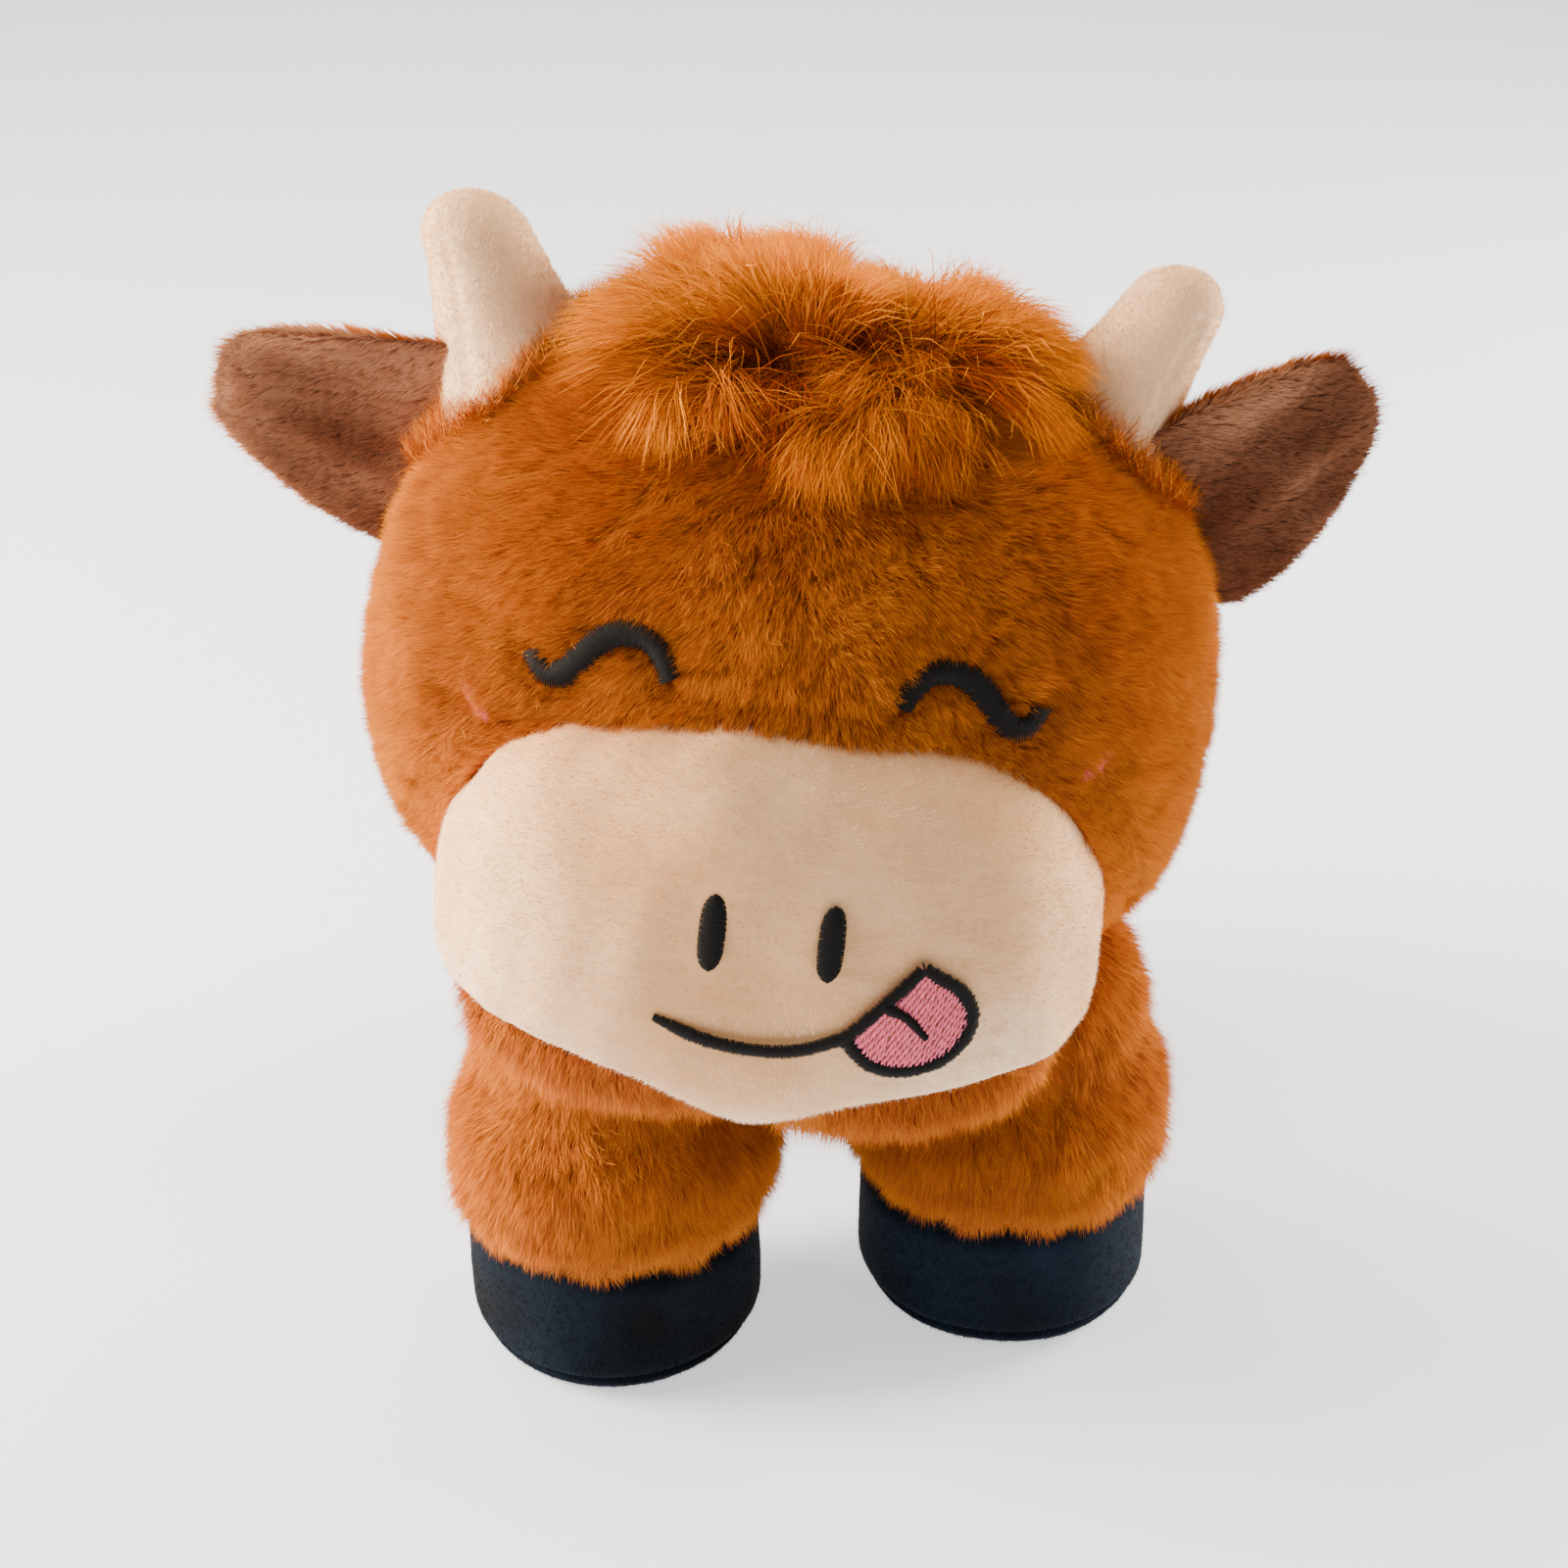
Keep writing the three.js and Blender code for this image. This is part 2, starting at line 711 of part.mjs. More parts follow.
// Squeaker: a base with the reed in its bore, and a crown that slides down over it when squeezed.
function makeSqueaker() {
  const { width, wall, baseHeight, crownHeight, travel } = squeaker;
  const { running, reedBore, reedHeight, back, sideCount } = squeaker;
  const floor = squeakerFloor() + gap;
  const inner = width / 2 - wall - running;
  const base = [
    [reedBore / 2, 0], [inner, 0], [inner, baseHeight], [inner - wall, baseHeight],
    [inner - wall, wall], [reedBore / 2 + wall, wall], [reedBore / 2 + wall, reedHeight],
    [reedBore / 2, reedHeight], [reedBore / 2, 0],
  ];
  const crown = [
    [width / 2 - wall, 0], [width / 2, 0], [width / 2, crownHeight - 2 * wall],
    ...corner(width / 2 - 2 * wall, crownHeight - 2 * wall, 2 * wall, 0, Math.PI / 2, 2).slice(1),
    [0, crownHeight], [0, crownHeight - wall], [width / 2 - 2 * wall, crownHeight - wall],
    [width / 2 - wall, crownHeight - 2 * wall], [width / 2 - wall, 0],
  ];
  const reed = [[0, 0], [reedBore / 2 - gap, 0], [reedBore / 2 - gap, reedHeight], [0, reedHeight]];
  const group = new THREE.Group();
  group.name = 'squeaker_seat';
  group.position.set(0, back, floor);
  const lifted = new THREE.Group();
  lifted.name = 'squeaker_slide';
  lifted.position.set(0, 0, travel);
  lifted.add(mesh('squeaker_crown', turned(crown, sideCount), colour.plastic, plasticRoughness_share));
  group.add(mesh('squeaker_base', turned(base, sideCount), colour.plastic, plasticRoughness_share));
  group.add(mesh('squeaker_reed', turned(reed, sideCount), colour.plastic, plasticRoughness_share));
  group.add(lifted);
  toy.add(group);
}

// Tail: it leaves the rump, bends down and ends in a tuft.
function makeTail() {
  const { rootWidth, endWidth, length, clearOfRump, rootUp } = tail;
  const { tuftWidth, tuftLength, swingInAngle, swingOutAngle, sideCount, stepCount } = tail;
  const rise = Math.abs(rootUp - torso.centreUp) / (torso.height / 2);
  const reach = torso.length / 2;
  const rump = reach * (1 - rise ** torso.power) ** (1 / torso.power);
  const group = new THREE.Group();
  group.name = 'tail_root';
  group.position.set(0, torso.centreBack + rump, rootUp);
  group.updateMatrix();
  const bent = (point) => {
    point.y += (reach - rump + clearOfRump) * Math.sin(Math.min(1, -point.z / length) * Math.PI / 2);
  };
  const cord = [[0, -length]];
  for (let i = 0; i <= stepCount; i++) {
    cord.push([THREE.MathUtils.lerp(endWidth, rootWidth, i / stepCount) / 2, -length * (1 - i / stepCount)]);
  }
  cord.push([0, 0]);
  const tuft = [[0, -length - gap - tuftLength]];
  for (let i = 1; i < stepCount; i++) {
    const t = i / stepCount;
    tuft.push([tuftWidth / 2 * Math.sin(Math.PI * Math.sqrt(t)), -length - gap - tuftLength * (1 - t)]);
  }
  tuft.push([0, -length - gap]);
  const turns = [-swingInAngle, 0, swingOutAngle / 2, swingOutAngle];
  const room = sweptRoom([torsoForm(gap)], group.matrix, new THREE.Vector3(1, 0, 0), turns);
  const seated = solid(shaped(turned(cord, sideCount), bent)).subtract(room);
  group.add(mesh('tail_cord', surface(seated), colour.fur));
  group.add(mesh('tail_tuft', shaped(turned(tuft, sideCount), bent), colour.topknot));
  toy.add(group);
}

const toy = new THREE.Group();
toy.add(headFrame);
makeHead();
makeMuzzle();
makeFace();
makeTongue();
makeHorns();
makeTopknot();
makeEar('ear_left', 1);
makeEar('ear_right', -1);
makeTorso();
makeSqueaker();
makeTail();
makeLeg('front_right', -leg.rightAside, leg.frontRightBack);
makeLeg('front_left', leg.leftAside, leg.frontLeftBack);
makeLeg('rear_right', -leg.rearAside, leg.rearBack);
makeLeg('rear_left', leg.rearAside, leg.rearBack);

// The origin is on the floor, under the middle of the toy.
const box = new THREE.Box3().setFromObject(toy, true);
const middle = box.getCenter(new THREE.Vector3());
toy.position.set(-middle.x, -middle.y, -box.min.z);

export default toy;
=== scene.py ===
"""A plush highland cow toy for dogs: fur coats, stitched face and soft studio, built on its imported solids.

Lengths are metres. The toy stands on Z = 0 and faces -Y. Left and right are the toy's own.
"""
import json
import math

import bpy
import numpy as np
from bpy.props import FloatProperty, FloatVectorProperty, IntProperty, PointerProperty
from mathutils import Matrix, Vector


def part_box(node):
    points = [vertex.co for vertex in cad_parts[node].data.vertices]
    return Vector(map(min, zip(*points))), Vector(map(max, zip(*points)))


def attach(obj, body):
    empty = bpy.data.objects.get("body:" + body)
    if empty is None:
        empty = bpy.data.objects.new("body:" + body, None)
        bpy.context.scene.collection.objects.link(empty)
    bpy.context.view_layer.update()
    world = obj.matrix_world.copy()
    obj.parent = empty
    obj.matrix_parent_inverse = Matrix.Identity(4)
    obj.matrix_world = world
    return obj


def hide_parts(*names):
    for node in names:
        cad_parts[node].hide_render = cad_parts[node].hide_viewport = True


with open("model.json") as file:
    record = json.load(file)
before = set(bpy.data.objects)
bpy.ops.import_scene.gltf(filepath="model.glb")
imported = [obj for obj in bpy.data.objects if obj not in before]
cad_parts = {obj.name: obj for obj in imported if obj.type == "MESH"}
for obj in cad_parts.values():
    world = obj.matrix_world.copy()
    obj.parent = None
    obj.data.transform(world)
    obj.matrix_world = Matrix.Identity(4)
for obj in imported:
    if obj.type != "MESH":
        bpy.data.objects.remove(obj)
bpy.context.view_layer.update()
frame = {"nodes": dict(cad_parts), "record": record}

bl_info = {
    "name": "Plush Highland Cow",
    "version": (1, 0, 0),
    "blender": (4, 5, 0),
    "location": "View3D > Sidebar > Plush Cow",
    "description": "Builds a plush highland cow dog toy with fur coats and a stitched face",
    "category": "Object",
}

STRAND_MAP = "OFBake"
SHADE_CELLS = 64
PLACES = ("front_right", "front_left", "rear_right", "rear_left")
SIDES = (("left", 1), ("right", -1))
X, Y, Z = np.eye(3)
BLACK, WHITE = (0, 0, 0), (1, 1, 1)
TORSO_POWER = 2.2
CREAM_NAP = {"pile": 0.0011, "strand": 0.00014, "density": 6.0}
HOOF_NAP = {"pile": 0.0010, "strand": 0.00018, "density": 4.5}
LEG = {"flare_top": 0.034, "full_from": 0.016, "hem": 0.009, "inner_fill": 0.0024, "inner_rise": 0.018}


def length(label, words, metres):
    """A property that holds a length."""
    return FloatProperty(name=label, description=words, default=metres, unit="LENGTH", precision=4)


def angle(label, words, degrees):
    """A property that holds an angle, given in degrees."""
    return FloatProperty(name=label, description=words, default=math.radians(degrees), unit="ROTATION")


def share(label, words, value):
    """A property that holds a share from 0 to 1."""
    return FloatProperty(name=label, description=words, default=value, min=0, max=1, subtype="FACTOR")


def amount(label, words, value):
    """A property that holds a plain number."""
    return FloatProperty(name=label, description=words, default=value)


def whole(label, words, value):
    """A property that holds a count."""
    return IntProperty(name=label, description=words, default=value, min=1)


def tint(label, words, red, green, blue):
    """A property that holds a colour, given in screen values from 0 to 255."""
    screen = np.array([red, green, blue]) / 255
    linear = np.where(screen <= 0.04045, screen / 12.92, ((screen + 0.055) / 1.055) ** 2.4)
    return FloatVectorProperty(
        name=label, description=words, default=tuple(float(x) for x in linear), subtype="COLOR", min=0, max=1
    )


class FurSettings(bpy.types.PropertyGroup):
    """Pile and colours of the rust fur."""

    pile: length("Pile", "Length of the strands on head and body", 0.0056)
    depth: length("Depth", "How far the cloth lies under the tips", 0.0038)
    strand: length("Strand width", "Width of a strand at its root", 0.00021)
    density: amount("Strands per square millimetre", "How close the strands stand", 17.0)
    clump: length("Clump", "Size of the tufts that the strands gather into", 0.0034)
    gather: share("Gather", "How far the tips lean to the middle of their tuft", 0.3)
    rise: share("Rise", "Share of a strand's length that stands off the cloth", 0.7)
    root_dark: tint("Dark root", "Colour at the root of the darkest strands", 120, 48, 26)
    root_light: tint("Light root", "Colour at the root of the lightest strands", 172, 84, 42)
    tip_dark: tint("Dark tip", "Colour at the tip of the darkest strands", 160, 74, 36)
    tip_light: tint("Light tip", "Colour at the tip of the lightest strands", 238, 152, 42)
    cloth: tint("Cloth", "Colour of the cloth under the strands", 120, 50, 12)


class HeadSettings(bpy.types.PropertyGroup):
    """Size and turn of the head."""

    width: length("Width", "Head from side to side", 0.158)
    depth: length("Depth", "Head from front to back", 0.132)
    height: length("Height", "Head from chin to crown", 0.140)
    power: amount("Squareness", "Power of the rounded body", 2.2)
    roll: angle("Roll", "How far the head tips to its right", 5.5)
    yaw: angle("Yaw", "How far the head turns", -7)
    muzzle_width: length("Muzzle width", "Muzzle from side to side", 0.120)
    muzzle_depth: length("Muzzle depth", "Muzzle from front to back", 0.090)
    muzzle_above: length("Muzzle above", "Muzzle's height over its widest line", 0.056)
    muzzle_under: length("Muzzle under", "Muzzle's height under its widest line", 0.030)
    muzzle_power: amount("Muzzle squareness", "Power of the muzzle's rounded body", 2.5)
    muzzle_forward: length("Muzzle forward", "How far the muzzle's middle lies before the head's", 0.038)
    muzzle_below: length("Muzzle below", "How far the muzzle's widest line lies under the head's", 0.036)
    seam_point: length("Seam point", "Depth of the chin seam's point under the head's middle", 0.058)
    seam_side: length("Seam side", "Depth of the chin seam at its sides", 0.040)
    seam_reach: length("Seam reach", "How soon the chin seam levels out from its point", 0.019)
    cream: tint("Cream", "Colour of the muzzle plush", 242, 204, 158)
    cream_deep: tint("Deep cream", "Colour of the muzzle plush in its folds", 214, 162, 112)
    # Painted light: the paler cream paints light from below on the muzzle's lower part.
    cream_painted_light_below: tint("Pale cream", "Colour of the muzzle plush towards the chin", 250, 230, 204)


class StitchSettings(bpy.types.PropertyGroup):
    """Threads of the face."""

    thread: length("Thread", "Thickness of a thread", 0.00037)
    pitch: length("Pitch", "Distance from thread to thread in satin stitch", 0.00031)
    eye_stroke: length("Eye stroke", "Width of the eye's stitching", 0.0043)
    mouth_stroke: length("Mouth stroke", "Width of the smile's stitching", 0.0027)
    tongue_stroke: length("Tongue stroke", "Width of the tongue's outline", 0.0026)
    black: tint("Black thread", "Colour of eyes, nostrils and smile", 18, 17, 17)
    pink: tint("Pink thread", "Colour of the tongue", 248, 122, 146)
    blush: tint("Blush thread", "Colour of the cheeks", 224, 100, 92)


class TopknotSettings(bpy.types.PropertyGroup):
    """The long hair on the crown."""

    hair: length("Hair", "Length of the longest strands", 0.0235)
    strand: length("Strand width", "Width of a strand at its root", 0.00025)
    count: whole("Strands", "How many strands the topknot has", 30000)
    locks: whole("Locks", "How many locks the strands gather into", 95)
    root_dark: tint("Dark root", "Colour at the root of the darkest strands", 60, 16, 6)
    root_light: tint("Light root", "Colour at the root of the lightest strands", 168, 70, 14)
    tip_dark: tint("Dark tip", "Colour at the tip of the darkest strands", 150, 64, 20)
    tip_light: tint("Light tip", "Colour at the tip of the lightest strands", 255, 160, 24)


class HornSettings(bpy.types.PropertyGroup):
    """The two plush horns."""

    length: length("Length", "Horn from root to tip", 0.0395)
    root: length("Root width", "Width where the flared side meets the head", 0.054)
    neck: length("Neck width", "Width over the flare", 0.0262)
    tip: length("Tip width", "Width of the domed tip", 0.0172)
    bend: length("Bend", "How far the tip bends outwards", 0.0045)
    left_girth: amount("Left girth", "Stoutness of the left horn", 1.0)
    right_girth: amount("Right girth", "Stoutness of the right horn", 1.09)
    left_lean: angle("Left lean", "Lean of the left horn", 15)
    right_lean: angle("Right lean", "Lean of the right horn", 12.5)
    left_foot: length("Left foot", "Left horn's root from the head's middle", 0.0492)
    right_foot: length("Right foot", "Right horn's root from the head's middle", 0.0532)
    cream: tint("Cream", "Colour of the horn plush", 246, 216, 178)
    cream_deep: tint("Deep cream", "Colour of the horn plush in its folds", 234, 194, 150)


class EarSettings(bpy.types.PropertyGroup):
    """The two ears."""

    length: length("Length", "Ear from hem to tip", 0.0395)
    width: length("Width", "Width of the outer half", 0.0315)
    root: length("Root width", "Width at the hem", 0.060)
    sunk: length("Sunk", "How far the ear runs on into the head's fur", 0.010)
    thickness: length("Thickness", "Thickness at the middle", 0.011)
    hem: length("Hem", "Thickness at the hem", 0.005)
    cup: length("Cup", "How far the edges stand before the middle", 0.0045)
    mocha: tint("Mocha", "Colour of the lining", 142, 92, 66)
    # Painted light: the lightest mocha, which the lining strands take at the ear's top where light falls,
    # and in random bands.
    mocha_pale_and_painted_light: tint("Light mocha", "Colour of the lining's brushed nap", 200, 146, 110)


class BodySettings(bpy.types.PropertyGroup):
    """Torso, legs, hooves and tail."""

    torso_width: length("Torso width", "Torso from side to side", 0.122)
    torso_length: length("Torso length", "Torso from chest to rump", 0.140)
    torso_height: length("Torso height", "Torso from belly to back", 0.088)
    torso_up: length("Torso height over floor", "Height of the torso's middle", 0.090)
    torso_before: length("Torso before hips", "How far the torso's middle lies before the rear hips", 0.040)
    taper: share("Chest taper", "How much narrower the chest is", 0.1)
    leg_width: length("Leg width", "Fur of a leg at its widest", 0.0635)
    ankle: length("Ankle width", "Fur of a leg at its hem", 0.059)
    shoulder: length("Shoulder width", "Leg under its domed top", 0.054)
    leg_top: length("Leg top", "Height of a leg's domed top", 0.092)
    dome: length("Dome height", "Height of the dome", 0.030)
    fringe: length("Fringe", "Height over the hoof from which the fur is cut shorter", 0.010)
    hoof_width: length("Hoof width", "Width of a hoof", 0.0555)
    hoof_height: length("Hoof height", "Height of a hoof", 0.031)
    hoof_round: length("Hoof round", "Roundness of the foot", 0.009)
    sole_seam: length("Sole seam", "Height of the seam round the sole", 0.0052)
    tail_length: length("Tail length", "Length of the tail's cord", 0.052)
    tail_width: length("Tail width", "Width of the tail at its root", 0.013)
    tuft_length: length("Tuft length", "Length of the tail's tuft", 0.036)
    navy: tint("Navy", "Colour of the hoof plush", 3, 5, 8)
    navy_light: tint("Light navy", "Colour of the hoof plush where its nap is brushed", 14, 27, 41)
    seam_thread: tint("Seam thread", "Colour of the belly's ladder stitch", 168, 100, 44)
    plastic: tint("Plastic", "Colour of the squeaker", 232, 230, 223)


class StudioSettings(bpy.types.PropertyGroup):
    """Camera, floor and lights."""

    distance: length("Camera distance", "From the camera to the toy", 0.633)
    elevation: angle("Elevation", "Height of the camera over the horizon", 28)
    azimuth: angle("Azimuth", "Turn of the camera round the toy", -5)
    lens: amount("Lens", "Focal length in millimetres on a 36 mm sensor", 76.7)
    aim_up: length("Aim height", "Height that the camera looks at", 0.108)
    aim_aside: length("Aim aside", "How far beside the head's middle the camera looks", -0.00146)
    floor: tint("Floor", "Colour of the floor", 218, 232, 252)
    key: amount("Key light", "Power of the key light in watts", 14)
    fill: amount("Fill light", "Power of the fill light in watts", 0.5)
    side: amount("Side light", "Power of the side lights in watts", 20)
    warm: tint("Warm light", "Colour of the lamps", 255, 236, 212)
    spread: angle("Spread", "How widely the lamps' light fans out", 150)
    sky: amount("Sky", "Strength of the even light", 0.42)
    wall: tint("Wall", "Colour of the pale wall behind the floor", 250, 252, 255)
    wall_glow: amount("Wall glow", "Light of the wall as the camera sees it", 1.25)
    glow: amount("Floor glow", "Light of the floor itself, as from a light table", 0.9)


GROUPS = {
    "cow_fur": FurSettings,
    "cow_head": HeadSettings,
    "cow_stitch": StitchSettings,
    "cow_topknot": TopknotSettings,
    "cow_horn": HornSettings,
    "cow_ear": EarSettings,
    "cow_body": BodySettings,
    "cow_studio": StudioSettings,
}


def unit(vectors):
    """Vectors divided by their lengths."""
    return vectors / np.maximum(np.linalg.norm(vectors, axis=-1, keepdims=True), 1e-12)


def turn(axis, radians):
    """The matrix that turns column vectors about an axis, by Rodrigues' formula.

    It sums the identity times the cosine, the axis's outer product times 1 less the cosine, and the matrix
    of its cross product times the sine.
    """
    x, y, z = axis
    cross = np.array([[0, -z, y], [z, 0, -x], [-y, x, 0]])
    cosine, sine = np.cos(radians), np.sin(radians)
    return cosine * np.eye(3) + (1 - cosine) * np.outer(axis, axis) + sine * cross


def middle(node):
    """The middle of a CAD node's box."""
    low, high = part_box(node)
    return (np.array(low) + np.array(high)) / 2


def joint_place(name):
    """The place of a joint in the record."""
    joints = frame["record"]["behaviour"]["joints"]
    return np.array(next(j["pos_m"] for j in joints if j["name"] == name))


def flatten(vectors, normals):
    """Vectors without their part along the normals, as unit vectors."""
    return unit(vectors - (vectors * normals).sum(-1, keepdims=True) * normals)


def ease(value, low, high):
    """0 under low, 1 over high, and a smooth step between them."""
    t = np.clip((value - low) / (high - low), 0, 1)
    return t * t * (3 - 2 * t)


def ripple(points, size, seed, waves=9):
    """Smooth noise from about -1 to 1: a sum of sine waves of about the given size in seeded directions."""
    rng = np.random.default_rng(seed)
    ways = unit(rng.normal(size=(waves, 3))) * 2 * np.pi / size / rng.uniform(0.75, 1.5, (waves, 1))
    return np.sin(points @ ways.T + rng.uniform(0, 2 * np.pi, waves)).sum(-1) / np.sqrt(waves) * 0.9


def ball(u, v):
    """A unit ball: u goes once round +Z, and the height falls from 1 to -1 in proportion to v."""
    up = 1 - 2 * v
    flat = np.sqrt(np.clip(1 - up * up, 0, 1))
    return np.stack([flat * np.cos(2 * np.pi * u), flat * np.sin(2 * np.pi * u), up], -1)


def ring_points(radius, around, high):
    """Points round +Z at the given radius, angle and height."""
    return np.stack(np.broadcast_arrays(radius * np.cos(around), radius * np.sin(around), high), -1)


def pillow(points, half, power):
    """A rounded body: points over the root of the sum of their powers, stretched to its half sizes."""
    norm = (np.abs(points) ** power).sum(-1, keepdims=True) ** (1 / power)
    return points / norm * half


def curve_through(points, count):
    """A Catmull-Rom curve through points, straight beyond its ends, at even steps along its length."""
    points = np.asarray(points, float)
    walk = np.concatenate([2 * points[:1] - points[1:2], points, 2 * points[-1:] - points[-2:-1]])
    t = np.linspace(0, 1, 40, endpoint=False)[None, :, None]
    a, b, c, d = (walk[i : len(walk) - 3 + i][:, None] for i in range(4))
    fine = 0.5 * (2 * b + (c - a) * t + (2 * a - 5 * b + 4 * c - d) * t**2 + (3 * b - a - 3 * c + d) * t**3)
    fine = np.concatenate([fine.reshape(-1, points.shape[1]), walk[-2:-1]])
    gone = np.concatenate([[0], np.cumsum(np.linalg.norm(np.diff(fine, axis=0), axis=1))])
    at = np.linspace(0, gone[-1], count)
    return np.stack([np.interp(at, gone, fine[:, k]) for k in range(points.shape[1])], -1)


class Placed:
    """Forms of the toy, worked out from the settings and the frame."""

    def __init__(self, scene):
        head, body = scene.cow_head, scene.cow_body
        self.head, self.body = head, body
        self.centre = middle("head_stuffing")
        self.turned = turn(Z, head.yaw) @ turn(Y, head.roll)
        self.half = np.array([head.width, head.depth, head.height]) / 2
        self.muzzle_middle = np.array([0, -head.muzzle_forward, -head.muzzle_below])
        hips = joint_place("leg_rear_left_swing") + joint_place("leg_rear_right_swing")
        self.torso_middle = np.array([hips[0] / 2, hips[1] / 2 - body.torso_before, body.torso_up])
        self.torso_half = np.array([body.torso_width, body.torso_length, body.torso_height]) / 2

    def to_toy(self, points):
        """Head coordinates to the toy's."""
        return points @ self.turned.T + self.centre

    def to_head(self, points):
        """The toy's coordinates to the head's."""
        return (points - self.centre) @ self.turned

    def head_form(self, inset=0.0, lumps=0.0012):
        """The head: a rounded body with smooth lumps, drawn in by inset, turned and placed."""
        def form(u, v):
            local = pillow(ball(u, v), self.half - inset, self.head.power)
            local = local * (1 + lumps * ripple(local, 0.07, 3)[..., None] / self.half.mean())
            return self.to_toy(local)
        return form

    def muzzle_local(self, u, v, inset=0.0):
        """The muzzle in head coordinates: a rounded body whose pole looks forward, flatter below."""
        head = self.head
        points = ball(u, v)
        points = np.stack([points[..., 0], -points[..., 2], points[..., 1]], -1)
        half = np.array([head.muzzle_width / 2, head.muzzle_depth / 2, head.muzzle_above]) - inset
        local = pillow(points, half, head.muzzle_power)
        under = (head.muzzle_under - inset) / (head.muzzle_above - inset)
        local[..., 2] *= np.where(local[..., 2] < 0, under, 1)
        return local + self.muzzle_middle

    def muzzle_front(self, x, z, lift=0.0):
        """The place on the muzzle's front at head coordinates x and z, raised by lift."""
        head = self.head
        side = np.abs(x) / (head.muzzle_width / 2)
        tall = np.where(z + head.muzzle_below > 0, head.muzzle_above, head.muzzle_under)
        high = np.abs(z + head.muzzle_below) / tall
        rest = np.clip(1 - side**head.muzzle_power - high**head.muzzle_power, 1e-6, 1)
        y = -head.muzzle_depth / 2 * rest ** (1 / head.muzzle_power) - head.muzzle_forward
        return self.raised(x, y, z, lift, self.muzzle_front)

    def head_front(self, x, z, lift=0.0):
        """The place on the head's front at head coordinates x and z, raised by lift."""
        power = self.head.power
        rest = 1 - (np.abs(x) / self.half[0]) ** power - (np.abs(z) / self.half[2]) ** power
        y = -self.half[1] * np.clip(rest, 1e-6, 1) ** (1 / power)
        return self.raised(x, y, z, lift, self.head_front)

    def raised(self, x, y, z, lift, front):
        """Points moved off a front by lift along its normal, the cross product of two small steps."""
        here = np.stack(np.broadcast_arrays(x, y, z), -1)
        if not np.any(lift):
            return here
        step = 1e-5
        aside = (front(x + step, z) - here) / step
        up = (front(x, z + step) - here) / step
        return here + unit(np.cross(aside, up)) * np.asarray(lift)[..., None]

    def seam_height(self, x):
        """Height of the chin seam at head coordinate x: level at the sides and drawn down to a point."""
        head = self.head
        near = np.exp(-np.sqrt(x**2 + 0.0015**2) / head.seam_reach)
        return -head.seam_side - (head.seam_point - head.seam_side) * near

    def torso_form(self, inset=0.0):
        """The torso: a rounded body drawn in towards the chest, with smooth lumps."""
        def form(u, v):
            points = pillow(ball(u, v), 1, TORSO_POWER)
            points[..., 0] *= 1 + self.body.taper * points[..., 1]
            local = points * (self.torso_half - inset)
            local = local * (1 + 0.02 * ripple(local, 0.06, 11)[..., None])
            return local + self.torso_middle
        return form

    def leg_form(self, foot, inset=0.0, seed=0):
        """A leg: rings about its own upright line, domed above, flared to full width, drawn in at the hem.

        Its side towards the other leg is a little fuller.
        """
        body = self.body
        low, side = body.hoof_height, np.sign(foot[0])

        def form(u, v):
            high = body.leg_top - inset + (low - body.leg_top + inset) * v
            dome = np.clip((high - body.leg_top + body.dome) / body.dome, 0, 1)
            full = ease(high, low + LEG["flare_top"], low + LEG["full_from"])
            wide = body.shoulder + (body.leg_width - body.shoulder) * full
            hem = ease(high, low + LEG["hem"], low)
            wide = wide - (body.leg_width - body.ankle) * hem
            radius = (wide / 2 - inset) * np.sqrt(np.clip(1 - dome**2, 0, 1))
            around = 2 * np.pi * u
            local = ring_points(radius, around, high)
            local[..., :2] *= 1 + 0.022 * ripple(local, 0.045, 21 + seed)[..., None]
            inward = np.clip(-side * np.cos(around), 0, 1) * ease(high, low, low + LEG["inner_rise"])
            local[..., 0] -= side * LEG["inner_fill"] * inward
            return local + np.array([foot[0], foot[1], 0])
        return form

    def inside_head(self, points, grow=0.0):
        """True where points lie in the head grown by grow."""
        return (np.abs(self.to_head(points) / (self.half + grow)) ** self.head.power).sum(-1) < 1

    def inside_muzzle(self, points, grow=0.0):
        """True where points lie in the muzzle grown by grow."""
        head = self.head
        local = self.to_head(points) - self.muzzle_middle
        tall = np.where(local[..., 2] > 0, head.muzzle_above, head.muzzle_under) + grow
        wide, deep = head.muzzle_width / 2 + grow, head.muzzle_depth / 2 + grow
        half = np.stack(np.broadcast_arrays(wide, deep, tall), -1)
        return (np.abs(local / half) ** head.muzzle_power).sum(-1) < 1

    def inside_torso(self, points, grow=0.0):
        """True where points lie in the torso grown by grow."""
        local = (points - self.torso_middle) / (self.torso_half + grow)
        local[..., 0] /= 1 + self.body.taper * local[..., 1]
        return (np.abs(local) ** TORSO_POWER).sum(-1) < 1


def new_object(name, points, corners, counts, flat_map=None):
    """A mesh object from points, the corners of all faces in a row, and each face's count of corners."""
    data = bpy.data.meshes.new(name)
    data.vertices.add(len(points))
    data.vertices.foreach_set("co", np.ascontiguousarray(points, np.float32).ravel())
    data.loops.add(len(corners))
    data.loops.foreach_set("vertex_index", np.ascontiguousarray(corners, np.int32))
    data.polygons.add(len(counts))
    starts = np.concatenate([[0], np.cumsum(counts)[:-1]])
    data.polygons.foreach_set("loop_start", np.ascontiguousarray(starts, np.int32))
    data.update(calc_edges=True)
    data.polygons.foreach_set("use_smooth", np.ones(len(counts), bool))
    if flat_map is not None:
        layer = data.uv_layers.new(name=STRAND_MAP)
        layer.data.foreach_set("uv", np.ascontiguousarray(flat_map, np.float32).ravel())
    item = bpy.data.objects.new(name, data)
    bpy.context.scene.collection.objects.link(item)
    return item


